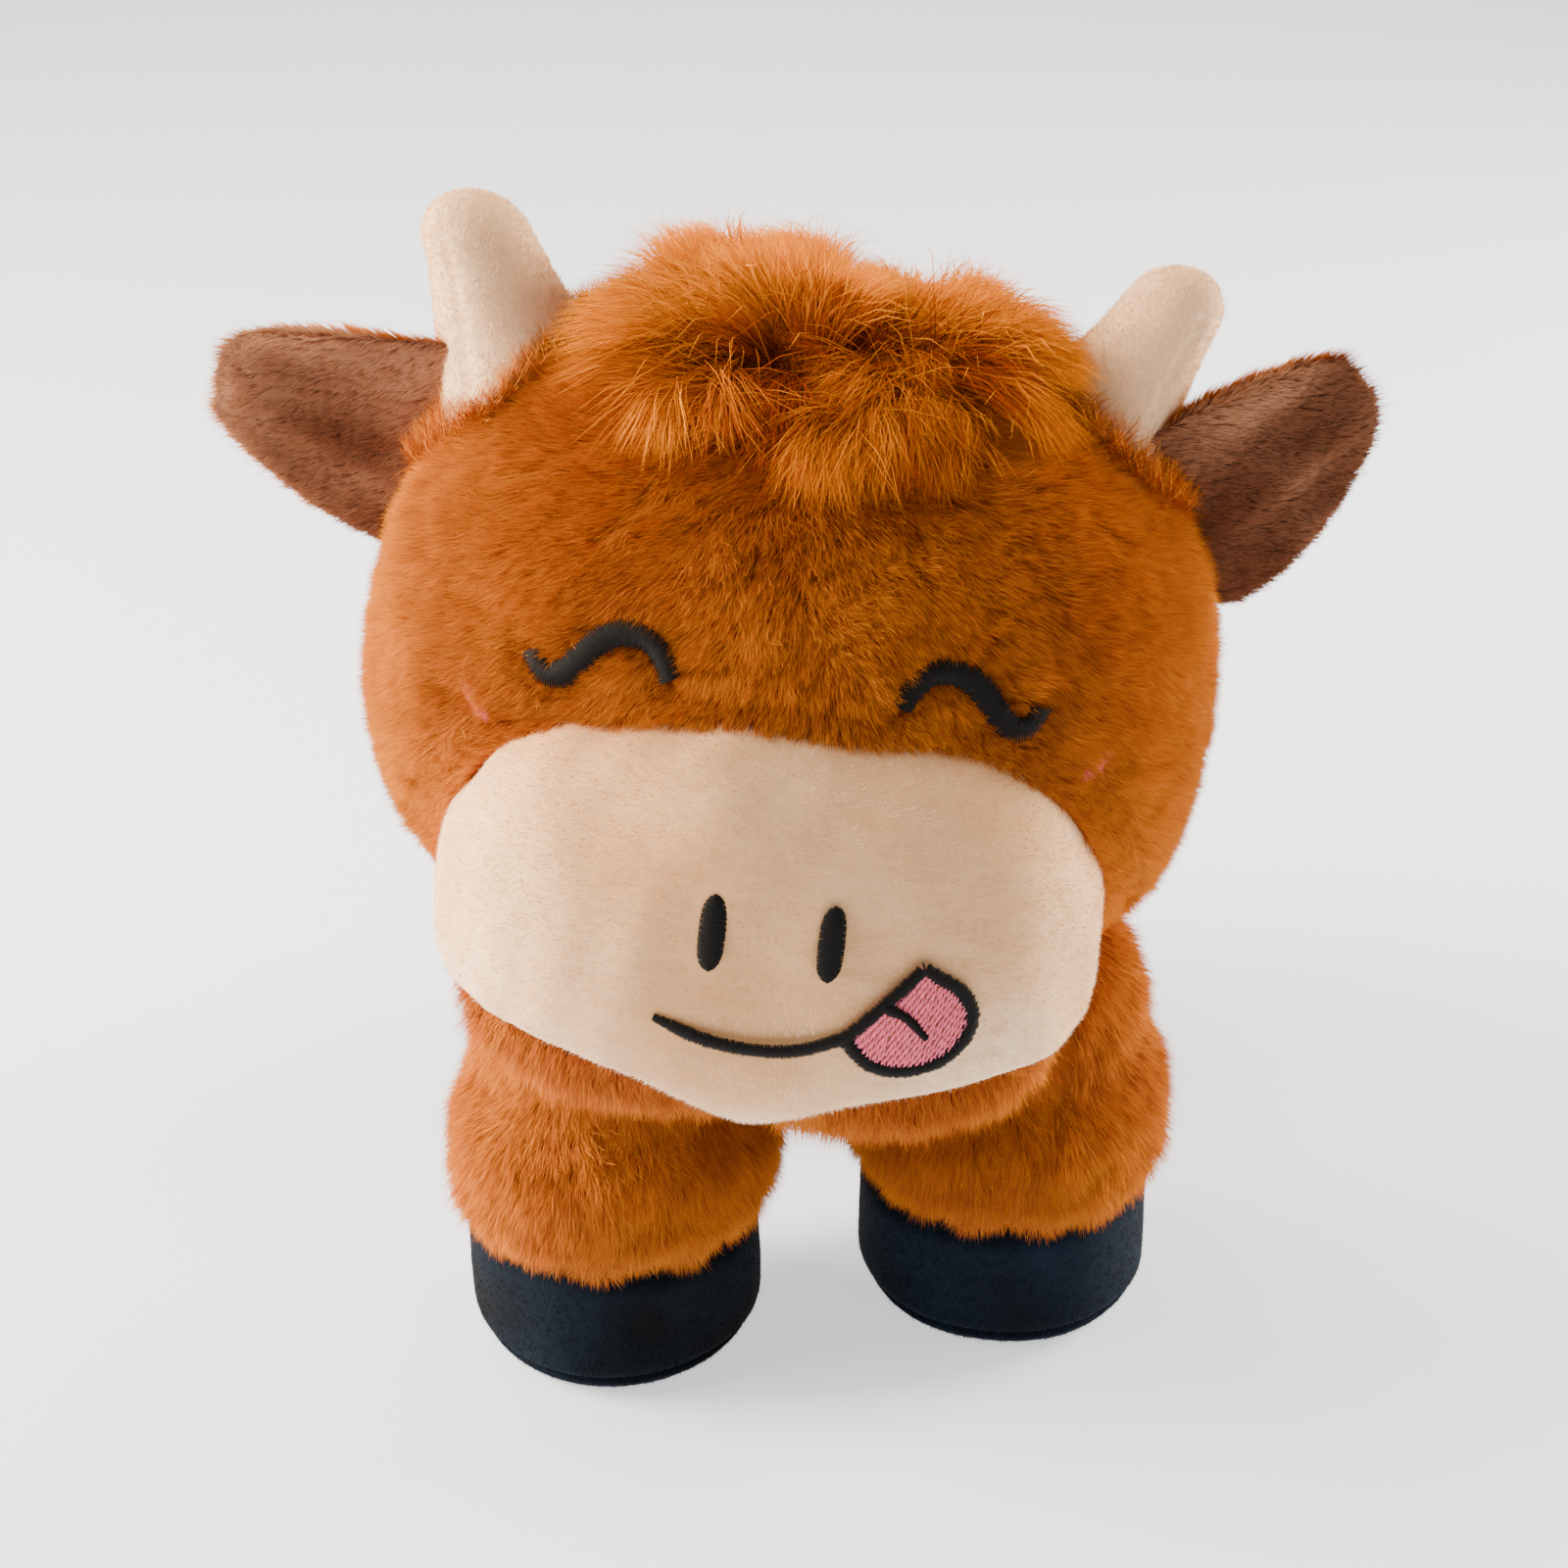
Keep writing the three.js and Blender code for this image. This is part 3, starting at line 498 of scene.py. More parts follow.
def shell(name, form, across, down, flat_end=False):
    """A closed surface: rings of a form, closer together near its two poles, and a fan at each pole.

    A flat end keeps the last ring at full width and closes it with its fan.
    """
    u = np.arange(across) / across
    steps = np.arange(1, down + (1 if flat_end else 0)) / down
    v = (1 - np.cos(np.pi * steps)) / 2
    rings = form(*np.meshgrid(u, v))
    poles = [form(u, np.full(across, end)).mean(0) for end in (0.0, 1.0)]
    points = np.concatenate([rings.reshape(-1, 3), poles])
    index = np.arange(len(v) * across).reshape(len(v), across)
    after = np.roll(index, -1, axis=1)
    quads = np.stack([index[:-1], index[1:], after[1:], after[:-1]], -1).reshape(-1)
    top, bottom = len(points) - 2, len(points) - 1
    first = np.stack([np.full(across, top), index[0], after[0]], -1).reshape(-1)
    last = np.stack([np.full(across, bottom), after[-1], index[-1]], -1).reshape(-1)
    counts = np.concatenate([np.full(len(quads) // 4, 4), np.full(2 * across, 3)])
    return new_object(name, points, np.concatenate([quads, first, last]), counts)


def scatter(form, density, rng):
    """Roots spread evenly over a form, and their outward normals.

    Draws on the unit square are kept in proportion to the area that a small step in each parameter covers.
    """
    step = 1e-4

    def measure(u, v):
        """The place, and the cross product of a small step in each parameter."""
        here = form(u, v)
        across = form(u + step, v) - here
        down = form(u, v + step) - here
        return here, np.cross(down, across)

    u, v = rng.random(4000), rng.random(4000) * (1 - step)
    areas = np.linalg.norm(measure(u, v)[1], axis=1) / step**2
    count, most = int(density * 1e6 * areas.mean()), np.quantile(areas, 0.99)
    tries = int(count * most / areas.mean() * 1.02)
    u, v = rng.random(tries), rng.random(tries) * (1 - step)
    here, normals = measure(u, v)
    kept = rng.random(tries) * most * step**2 < np.linalg.norm(normals, axis=1)
    return here[kept], unit(normals[kept])


def rooted(form, density, keep, rng):
    """Roots and normals scattered over a form, where keep is true."""
    roots, normals = scatter(form, density, rng)
    kept = keep(roots)
    return roots[kept], normals[kept]


def cell_random(cells, salt):
    """Three random shares for each whole-numbered cell: the fractions of large sines."""
    mix = np.array([[127.1, 269.5, 419.2], [311.7, 183.3, 371.9], [74.7, 246.1, 291.4]])
    values = np.sin(cells @ mix + salt) * 43758.5453
    return values - np.floor(values)


def clumps(roots, size, salt):
    """The middle of each root's tuft and the tuft's three random shares, from a bent grid of cells."""
    bent = roots / size + 0.8 * np.stack([ripple(roots, size * 3, salt + k) for k in range(3)], -1)
    cells = np.floor(bent)
    chance = cell_random(cells, salt)
    return roots + (cells + 0.25 + 0.5 * chance - bent) * size, chance


def blades(name, roots, normals, flow, lengths, widths, rise, shades, rng, joints=1, pull=None, curl=0.0,
           droop=0.0):
    """Strands as narrow blades that taper to a point.

    With t from root to tip, the height over the root grows as 1 - (1 - t) ** 1.7 and the run along the flow
    as t ** 1.25, so a strand leaves steeply and bends over. The pull to its tuft and the droop grow as t
    squared, and the curl is a sine along t. The map holds the shade class across U and t along V.
    """
    count = len(roots)
    lengths, rise, widths, curl = (
        np.broadcast_to(x, count)[:, None, None] for x in (lengths, rise, widths, curl)
    )
    t = np.linspace(0, 1, joints + 1)[None, :, None]
    up, along = normals[:, None], flow[:, None]
    run = np.sqrt(np.clip(1 - rise**2, 0, 1))
    line = roots[:, None] + lengths * (rise * (1 - (1 - t) ** 1.7) * up + run * t**1.25 * along)
    aside = np.cross(normals, flow)[:, None]
    if pull is not None:
        line = line + t**2 * pull[:, None]
    wave = np.sin(t * 5 + rng.uniform(0, 6, (count, 1, 1)))
    line = line + curl * wave * t * aside - droop * lengths * t**2 * Z
    roll = rng.normal(0, 0.55, (count, 1, 1))
    edge = np.cos(roll) * aside + np.sin(roll) * up
    half = widths / 2 * (1 - t[:, :-1]) ** 0.6
    sides = np.stack([line[:, :-1] - edge * half, line[:, :-1] + edge * half], 2)
    points = np.concatenate([sides.reshape(count, 2 * joints, 3), line[:, -1:]], 1)
    first = np.arange(joints - 1) * 2
    quads = np.stack([first, first + 1, first + 3, first + 2], -1).reshape(-1)
    corner = np.concatenate([quads, [2 * joints - 2, 2 * joints - 1, 2 * joints]]).astype(int)
    corners = corner[None] + (np.arange(count) * (2 * joints + 1))[:, None]
    counts = np.tile([4] * (joints - 1) + [3], count)
    cell = np.clip(np.floor(shades * SHADE_CELLS), 0, SHADE_CELLS - 1)[:, None]
    across = np.tile([0.25, 0.75], joints).tolist() + [0.5]
    place_u = (cell + np.array(across)[None]) / SHADE_CELLS
    ahead = np.append(np.repeat(np.linspace(0, 1, joints + 1)[:-1], 2), 1.0)
    place_v = np.broadcast_to(ahead, place_u.shape)
    flat_map = np.stack([place_u[:, corner], place_v[:, corner]], -1)
    return new_object(name, points.reshape(-1, 3), corners.reshape(-1), counts, flat_map.reshape(-1, 2))


def coat(name, form, fur, comb, keep, seed, trim=None, density=1.0, pile=1.0, width=1.0, rise=1.0, light=0.0,
         joints=1):
    """A fur coat over a form: scattered roots, combed, gathered into tufts that lean and lift by chance."""
    rng = np.random.default_rng(seed)
    roots, normals = rooted(form, fur.density * density, keep, rng)
    centres, chance = clumps(roots, fur.clump, seed)
    broad = np.stack([ripple(roots, 0.016, seed + 40 + k) for k in range(3)], -1)
    way = unit(comb(roots)) + 0.25 * broad + 0.4 * (chance - 0.5)
    flow = flatten(way + rng.normal(0, 0.25, roots.shape), normals)
    lengths = fur.pile * pile * rng.uniform(0.72, 1.12, len(roots)) * (0.92 + 0.16 * chance[:, 0])
    stand = fur.rise * rise * rng.uniform(0.75, 1.2, len(roots)) * (0.87 + 0.26 * chance[:, 1])
    if trim is not None:
        lengths = lengths * trim(roots)
    pull = (centres - roots) * fur.gather * rng.uniform(0.5, 1.1, (len(roots), 1))
    pull = pull - (pull * normals).sum(-1, keepdims=True) * normals
    # light moves all shade classes: where it is below 0, as on the chin and legs, it paints shade.
    tone_and_painted_light = 0.5 + light + 0.1 * (chance[:, 2] - 0.5) + 0.08 * ripple(roots, 0.03, seed + 7)
    shades = tone_and_painted_light + rng.normal(0, 0.12, len(roots))
    widths = fur.strand * width * rng.uniform(0.7, 1.3, len(roots))
    return blades(name, roots, normals, flow, lengths, widths, np.clip(stand, 0.05, 0.95), shades, rng,
                  joints=joints, pull=pull)


def threads(name, start, end, normals, thickness, arch, sides=6, stations=6):
    """Threads as closed tubes that arch as a sine of the way from start to end and thin at both ends."""
    count = len(start)
    s = np.linspace(0, 1, stations)[None, :, None]
    bow = np.sin(np.pi * s)
    up, along = normals[:, None], unit(end - start)[:, None]
    arch, thickness = (np.broadcast_to(x, count)[:, None, None] for x in (arch, thickness))
    line = start[:, None] * (1 - s) + end[:, None] * s + up * bow * arch
    across = unit(np.cross(up, along))
    radius = thickness / 2 * (0.6 + 0.4 * bow**0.4)
    around = np.linspace(0, 2 * np.pi, sides, endpoint=False)[None, None, :, None]
    outward = np.cos(around) * across[:, :, None] + np.sin(around) * up[:, :, None]
    ring = line[:, :, None] + radius[:, :, None] * outward
    index = np.arange(stations * sides).reshape(stations, sides)
    after = np.roll(index, -1, axis=1)
    quads = np.stack([index[:-1], after[:-1], after[1:], index[1:]], -1).reshape(-1)
    corner = np.concatenate([quads, index[0][::-1], index[-1]])
    counts = [4] * (len(quads) // 4) + [sides] * 2
    corners = corner[None] + (np.arange(count) * stations * sides)[:, None]
    return new_object(name, ring.reshape(-1, 3), corners.reshape(-1), np.tile(counts, count))


def finish_with(item, material, body, slot, *nodes, fill=None):
    """Gives a piece its material and body, and hides the CAD nodes that it stands for. The slot is not used.
    """
    item.data.materials.append(material)
    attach(item, body)
    if nodes:
        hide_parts(*nodes)
    return item


def new_material(name, roughness, sheen=0.0, sheen_roughness=0.5, sheen_tint=(1, 1, 1), specular=0.3):
    """A material and its nodes, links and principled shader."""
    material = bpy.data.materials.new(name)
    material.use_nodes = True
    nodes, links = material.node_tree.nodes, material.node_tree.links
    shader = nodes["Principled BSDF"]
    shader.inputs["Roughness"].default_value = roughness
    shader.inputs["Specular IOR Level"].default_value = specular
    shader.inputs["Sheen Weight"].default_value = sheen
    shader.inputs["Sheen Roughness"].default_value = sheen_roughness
    shader.inputs["Sheen Tint"].default_value = (*sheen_tint, 1)
    return material, nodes, links, shader


def dimmed(colour, left):
    """A colour with only a share of its light left."""
    return tuple(left * part for part in colour)


def ramp(nodes, links, value, first, last):
    """The colour of a ramp between two places with their colours, at the value of an output."""
    node = nodes.new("ShaderNodeValToRGB")
    for mark, (place, colour) in zip(node.color_ramp.elements, (first, last)):
        mark.position = place
        mark.color = (*colour, 1)
    links.new(value, node.inputs[0])
    return node.outputs["Color"]


def mixed(nodes, links, factor, first, second):
    """A colour mix of two outputs or colours by an output or a share."""
    node = nodes.new("ShaderNodeMix")
    node.data_type = "RGBA"
    for socket, value in ((node.inputs[0], factor), (node.inputs[6], first), (node.inputs[7], second)):
        if isinstance(value, bpy.types.NodeSocket):
            links.new(value, socket)
        else:
            socket.default_value = value if socket.type == "VALUE" else (*value, 1)
    return node.outputs[2]


def noise(nodes, links, scale, detail, stretch=None):
    """Noise on Object coordinates, stretched along an axis if asked."""
    place = nodes.new("ShaderNodeTexCoord").outputs["Object"]
    if stretch is not None:
        mapping = nodes.new("ShaderNodeMapping")
        mapping.inputs["Scale"].default_value = stretch
        links.new(place, mapping.inputs["Vector"])
        place = mapping.outputs["Vector"]
    node = nodes.new("ShaderNodeTexNoise")
    node.inputs["Scale"].default_value = scale
    node.inputs["Detail"].default_value = detail
    node.inputs["Roughness"].default_value = 0.55
    links.new(place, node.inputs["Vector"])
    return node.outputs["Fac"]


def bumped(nodes, links, shader, height, strength, distance):
    """A bump from a height output into the shader's normal."""
    node = nodes.new("ShaderNodeBump")
    node.inputs["Strength"].default_value = strength
    node.inputs["Distance"].default_value = distance
    links.new(height, node.inputs["Height"])
    links.new(node.outputs["Normal"], shader.inputs["Normal"])


def strand_material(name, root_dark, root_light, tip_dark, tip_light, roughness=0.7, sheen=0.1,
                    turn_at=(0.12, 0.8)):
    """Strands coloured from root to tip along the map's V, darker or lighter by the class in its U."""
    material, nodes, links, shader = new_material(name, roughness, sheen, 0.4, tuple(tip_light), 0.0)
    place = nodes.new("ShaderNodeUVMap")
    place.uv_map = STRAND_MAP
    parts = nodes.new("ShaderNodeSeparateXYZ")
    links.new(place.outputs["UV"], parts.inputs[0])
    shade, along = parts.outputs["X"], parts.outputs["Y"]
    root = ramp(nodes, links, shade, (0.1, root_dark), (0.9, root_light))
    tip = ramp(nodes, links, shade, (0.1, tip_dark), (0.9, tip_light))
    way = ramp(nodes, links, along, (turn_at[0], BLACK), (turn_at[1], WHITE))
    links.new(mixed(nodes, links, way, root, tip), shader.inputs["Base Color"])
    return material


def plush_material(name, deep, light, scale, bump, sheen, roughness=0.85, streaks=None, under=None):
    """Short plush: fine noise mixes two colours and lifts the nap, over a slower noise where it was brushed.

    Streaks are the scale and stretch of another noise that lifts the nap. Under holds a third colour, which
    the light one turns to, and the heights where it is all there and where it ends: paler, it paints light
    from below.
    """
    material, nodes, links, shader = new_material(name, roughness, sheen, 0.45, tuple(light), 0.1)
    # Painted light from below: towards the bottom the light colour turns to the paler one.
    if under is not None:
        pale, low, high = under
        place = nodes.new("ShaderNodeSeparateXYZ")
        links.new(nodes.new("ShaderNodeTexCoord").outputs["Object"], place.inputs[0])
        height = nodes.new("ShaderNodeMapRange")
        height.inputs["From Min"].default_value, height.inputs["From Max"].default_value = low, high
        links.new(place.outputs["Z"], height.inputs["Value"])
        light = mixed(nodes, links, height.outputs["Result"], pale, tuple(light))
    fine = noise(nodes, links, scale, 4.0)
    slow = noise(nodes, links, 22.0, 2.0)
    fine_mark = ramp(nodes, links, fine, (0.3, BLACK), (0.7, WHITE))
    slow_mark = ramp(nodes, links, slow, (0.35, BLACK), (0.65, WHITE))
    brushed = mixed(nodes, links, slow_mark, deep, light)
    colour = mixed(nodes, links, fine_mark, deep, brushed)
    links.new(mixed(nodes, links, 0.5, brushed, colour), shader.inputs["Base Color"])
    height = fine if streaks is None else noise(nodes, links, streaks[0], 3.0, streaks[1])
    bumped(nodes, links, shader, height, bump, 0.0006)
    return material


def thread_material(name, colour):
    """Twisted thread: fine noise darkens the colour a little, with a soft gloss."""
    material, nodes, links, shader = new_material(name, 0.62, 0.05, 0.4, tuple(colour), 0.12)
    fine = noise(nodes, links, 1500.0, 2.0)
    shaded = ramp(nodes, links, fine, (0.3, dimmed(colour, 0.6)), (0.62, colour))
    links.new(shaded, shader.inputs["Base Color"])
    bumped(nodes, links, shader, fine, 0.3, 0.0001)
    return material


def fur_materials():
    """The rust fur's strands and the cloth under them, made once."""
    fur = bpy.context.scene.cow_fur
    strands = bpy.data.materials.get("rust_strands") or strand_material(
        "rust_strands", fur.root_dark, fur.root_light, fur.tip_dark, fur.tip_light
    )
    cloth = bpy.data.materials.get("rust_cloth") or plush_material(
        "rust_cloth", dimmed(fur.cloth, 0.45), fur.cloth, 900.0, 0.5, 0.1
    )
    return strands, cloth


def cream_materials(name, deep, light, pale=None, under=None):
    """Cream plush and its loose nap, whose lightest strands may be paler than the plush, to paint light from
    below.
    """
    streaks = (40.0, (2.5, 2.5, 9))
    plush = plush_material(f"{name}_velour", deep, light, 420.0, 0.9, 0.1, 0.95, streaks, under)
    return plush, strand_material(f"{name}_nap", deep, pale or light, deep, pale or light, 0.95, 0.0)


def nap(name, form, comb, keep, seed, pile, strand, density, shade, ruffle=0.06, bands=None):
    """Short nap: single blades over a form, combed, a little ruffled, and brushed in bands if asked."""
    rng = np.random.default_rng(seed)
    roots, normals = rooted(form, density, keep, rng)
    chance = clumps(roots, 0.004, seed)[1]
    flow = flatten(unit(comb(roots)) + 0.5 * (chance - 0.5) + rng.normal(0, 0.3, roots.shape), normals)
    lengths = pile * rng.uniform(0.6, 1.2, len(roots))
    shades = shade + ruffle * (chance[:, 0] - 0.5) + rng.normal(0, ruffle, len(roots))
    if bands is not None:
        shades = shades + bands(roots)
    rise = np.clip(rng.normal(0.55, 0.15, len(roots)), 0.2, 0.9)
    return blades(name, roots, normals, flow, lengths, strand, rise, shades, rng)


def steady(vector):
    """A comb that points one way everywhere."""
    return lambda points: np.broadcast_to(np.asarray(vector, float), points.shape)


def everywhere(points):
    """A mask that keeps every root."""
    return np.ones(len(points), bool)


EYE = {
    "aside": 0.0306, "shift": -0.001, "above": 0.0231, "tip": 0.0004, "half": 0.013, "tall": 0.00535,
    "run": 0.036,
}
EYE_SHARES = (
    (1.02, -0.47), (0.93, -0.93), (0.75, -1.1), (0.56, -0.83), (0.38, -0.28), (0.17, 0.33), (-0.05, 0.71),
    (-0.27, 0.87), (-0.51, 0.77), (-0.7, 0.38), (-0.84, -0.3),
)
TONGUE = {
    "left": 0.0146, "width": 0.0214, "height": 0.0196, "top": 0.0185, "straight": 0.018, "round": 0.05,
    "tilt": 74, "reach": 0.0031, "middle": 0.0085,
}
TONGUE_SHARES = (
    (0, 0.65), (0.28, 0.32), (0.56, -0.03), (0.7, 0.07), (0.87, 0.2), (0.985, 0.43), (0.95, 0.68),
    (0.78, 0.88), (0.5, 0.97), (0.22, 0.9),
)
CREASE_SHARES = ((0.27, 0.32), (0.46, 0.42), (0.64, 0.63))
CREASE_RUN = 0.010
SMILE = {"right": 0.0176, "corner": 0.031, "lowest": 0.035, "run": 0.034}
NOSTRIL = {"width": 0.0045, "height": 0.0130, "aside": 0.010, "across": 0.0007, "below": 0.0143}
CHEEK = {"width": 0.010, "height": 0.0045, "inside": 0.023, "above": 0.0085, "tilt": 50}
HEAD_QUARTERS = (("front_left", 1, -1), ("front_right", -1, -1), ("back_left", 1, 1), ("back_right", -1, 1))


def eye_line(side, count=90):
    """The eye's stroke in head X and Z, from its outer end."""
    across, up = np.array(EYE_SHARES).T
    x = side * (EYE["aside"] + EYE["half"] * across) + EYE["shift"]
    z = EYE["above"] - side * EYE["tip"] + EYE["tall"] * up
    return curve_through(np.stack([x, z], -1), count)


def far_from_line(points, line):
    """Distance in head X and Z from each point to the nearest point of a line."""
    return np.sqrt(((points[:, None, (0, 2)] - line[None]) ** 2).sum(-1)).min(1)


def nostril_line(side, count=40):
    """The middle line of a nostril in head X and Z, from its lower end."""
    z = -NOSTRIL["below"] + np.linspace(-1, 1, count) * NOSTRIL["height"] / 2
    return np.stack([np.full(count, side * NOSTRIL["aside"] + NOSTRIL["across"]), z], -1)


def tongue_line(shares, count):
    """A curve in head X and Z through shares of the tongue's width and height."""
    shares = np.array(shares)
    x = TONGUE["left"] + TONGUE["width"] * shares[:, 0]
    return curve_through(np.stack([x, -TONGUE["top"] - TONGUE["height"] * shares[:, 1]], -1), count)


def tongue_edge(pitch):
    """The tongue's outline in head X and Z: its straight upper side, then round its tip."""
    straight = tongue_line(TONGUE_SHARES[:3], int(TONGUE["straight"] / pitch))
    tip = tongue_line(TONGUE_SHARES[2:] + TONGUE_SHARES[:1], int(TONGUE["round"] / pitch))
    return np.concatenate([straight[:-1], tip[:-1]])


def smile_line(count):
    """The smile in head X and Z, from its free end to the tongue."""
    end = (TONGUE["left"], -TONGUE["top"] - TONGUE["height"] * TONGUE_SHARES[0][1])
    sag = SMILE["lowest"] - SMILE["corner"]
    return curve_through([
        (-SMILE["right"], -SMILE["corner"]),
        (-SMILE["right"] / 2, -SMILE["lowest"] + sag / 4),
        (0, -SMILE["lowest"]),
        (end[0] / 2, -SMILE["corner"] - 0.8 * sag),
        end,
    ], count)


HEAD_FUR = {
    "short": 0.55, "eye_trim": (0.0016, 0.005), "cheek_trim": (0.001, 0.006), "eye_overlap": 0.0009,
    "halves_meet": 0.012, "muzzle_edge": 0.005, "muzzle_short": 0.6, "back_density": 0.46,
}


class COW_OT_head(bpy.types.Operator):
    """Head: cloth under a fur coat that parts round the eyes and the muzzle"""

    bl_idname = "cow.head"
    bl_label = "Head"

    def execute(self, context):
        placed = Placed(context.scene)
        fur, stitch = context.scene.cow_fur, context.scene.cow_stitch
        strands, cloth = fur_materials()
        base = shell("head_cloth", placed.head_form(fur.depth), 120, 80)
        finish_with(base, cloth, "torso", "rust_fur", "head_cover", "head_stuffing", fill=0.85)
        lines = [eye_line(side, 24) for side in (1, -1)]

        def comb(roots):
            """Backwards and outwards, and aside near the muzzle, fading with the distance from it."""
            local = placed.to_head(roots)
            away = local - placed.muzzle_middle
            near = np.exp(-np.linalg.norm(away * [1, 0.6, 1.2], axis=1) / 0.05)[:, None]
            back = local[:, 1] * 0.3 + 0.01
            way = unit(np.stack([local[:, 0] * 1.3, back, np.full(len(local), -0.05)], -1))
            aside = np.clip(away[:, :1] / 0.035, -1, 1) * X
            return (way + near * 1.4 * aside) @ placed.turned.T

        def lifted(roots):
            """Roots in head coordinates, raised from the cloth to the tips of the fur."""
            local = placed.to_head(roots)
            return local + unit(local / placed.half**2) * fur.depth

        def eye_gap(local):
            """Distance to the nearer eye's line."""
            return np.minimum(*(far_from_line(local, line) for line in lines))

        def trim(roots):
            """Shorter round eyes and cheeks and at the muzzle."""
            local = lifted(roots)
            front = local[:, 1] < 0
            low = HEAD_FUR["short"]
            short = np.where(front, low + (1 - low) * ease(eye_gap(local), *HEAD_FUR["eye_trim"]), 1)
            blush = np.abs(np.abs(local[:, 0]) - placed.half[0] + CHEEK["inside"])
            cheek = np.hypot(blush, local[:, 2] - CHEEK["above"])
            short = short * np.where(front, low + (1 - low) * ease(cheek, *HEAD_FUR["cheek_trim"]), 1)
            edge = placed.inside_muzzle(roots, HEAD_FUR["muzzle_edge"])
            return short * np.where(edge, HEAD_FUR["muzzle_short"], 1)

        for name, aside, behind in HEAD_QUARTERS:
            def keep(roots, aside=aside, behind=behind):
                """A quarter of the head, without the eyes and what muzzle and torso hide."""
                local = lifted(roots)
                half = np.sign(local[:, 1] + HEAD_FUR["halves_meet"]) == behind
                part = (np.sign(local[:, 0] + 1e-9) == aside) & half
                eye = (eye_gap(local) < stitch.eye_stroke / 2 - HEAD_FUR["eye_overlap"]) & (local[:, 1] < 0)
                hidden = placed.inside_muzzle(roots, -0.001) | placed.inside_torso(roots, -0.004)
                return part & ~eye & ~hidden

            thin = 1 if behind < 0 else HEAD_FUR["back_density"]
            piece = coat(f"head_fur_{name}", placed.head_form(fur.depth), fur, comb, keep,
                         100 + 7 * aside + behind, trim, density=thin, width=thin**-0.5)
            finish_with(piece, strands, "torso", "rust_fur", "head_cover")
        return {"FINISHED"}


# paler holds the heights over which the muzzle's nap turns paler towards the chin: painted light from below.
MUZZLE = {
    "groove": 0.0006, "groove_width": 0.0012, "chin_in": 0.0046, "seam_clear": 0.0007,
    "paler": (0.008, 0.052),
}


class COW_OT_muzzle(bpy.types.Operator):
    """Muzzle: a stuffed cream pillow with nap, and a fur chin under its pointed seam"""

    bl_idname = "cow.muzzle"
    bl_label = "Muzzle"

    def execute(self, context):
        placed = Placed(context.scene)
        fur = context.scene.cow_fur
        strands = fur_materials()[0]
        # The pale cream paints light from below on the muzzle's lower part, in the velour and in the nap.
        pale, level = tuple(placed.head.cream_painted_light_below), placed.centre[2] - placed.head.muzzle_below
        plush, loose = cream_materials("muzzle", placed.head.cream_deep, placed.head.cream, pale,
                                       (pale, level - 0.026, level + 0.022))

        def form(u, v, inset=0.0):
            """The muzzle with lumps along the way from its middle, a seam's groove and the chin drawn in."""
            local = placed.muzzle_local(u, v, inset)
            seam = local[..., 2] - placed.seam_height(local[..., 0])
            groove = MUZZLE["groove"] * np.exp(-((seam / MUZZLE["groove_width"]) ** 2))
            groove = groove + MUZZLE["chin_in"] * ease(-seam, -0.0004, 0.0022)
            way = unit(local - placed.muzzle_middle)
            lump = 0.0007 * ripple(local, 0.035, 61) + 0.0003 * ripple(local, 0.012, 62)
            return placed.to_toy(local + way * (lump - groove)[..., None])

        base = shell("muzzle_plush", lambda u, v: form(u, v, 0.0006), 200, 130)
        finish_with(base, plush, "torso", "cream_plush", "muzzle_panel", "muzzle_stuffing", fill=0.9)

        edge, beside = tongue_edge(0.001), NOSTRIL["width"] / 2 + 0.0007
        stitched = (
            (nostril_line(1), beside), (nostril_line(-1), beside), (smile_line(80), 0.0021), (edge, 0.0019),
            (edge.mean(0, keepdims=True), TONGUE["middle"]),
        )

        def above_seam(roots):
            """The plush over the seam and outside the head, clear of each stitched line by its gap."""
            local = placed.to_head(roots)
            above = local[:, 2] > placed.seam_height(local[:, 0]) + MUZZLE["seam_clear"]
            kept = above & ~placed.inside_head(roots, -0.004)
            for line, gap in stitched:
                kept = kept & (far_from_line(local, line) > gap)
            return kept

        def bands(roots):
            """Flat ripples, stronger to the left, over a shade that grows paler towards the chin: painted
            light from below.
            """
            local = placed.to_head(roots)
            # Painted light from below: the shade class grows paler towards the chin.
            lower = 0.42 * ease(-local[:, 2], *MUZZLE["paler"])
            strength = 0.12 + 0.14 * ease(local[:, 0], 0, 0.03)
            return lower + strength * ripple(local * [0.3, 0.3, 1], 0.0038, 64)

        def aside(roots):
            """Away from the muzzle's middle, mostly sideways."""
            return placed.to_head(roots) * [1, 0, 0.4] @ placed.turned.T

        soft = nap("muzzle_nap", lambda u, v: form(u, v, 0.0008), aside, above_seam, 71, shade=0.34,
                   ruffle=0.2, bands=bands, **CREAM_NAP)
        finish_with(soft, loose, "torso", "cream_plush", "muzzle_panel")

        def under_seam(roots):
            """The chin under the seam and outside the head."""
            local = placed.to_head(roots)
            below = local[:, 2] < placed.seam_height(local[:, 0]) - 0.0003
            return below & ~placed.inside_head(roots, -0.004)

        def chin_trim(roots):
            """Short at the seam, and full a little under it."""
            local = placed.to_head(roots)
            return 0.4 + 0.6 * ease(placed.seam_height(local[:, 0]) - local[:, 2], 0.0, 0.006)

        # light=-0.2 paints shade: the chin's fur is darker under the muzzle.
        chin = coat("chin_fur", lambda u, v: form(u, v, 0.0008), fur, steady([0, 0.3, -1]), under_seam, 83,
                    chin_trim, pile=1.5, density=0.5, width=1.3, light=-0.2)
        finish_with(chin, strands, "torso", "rust_fur", "chin_panel")
        return {"FINISHED"}


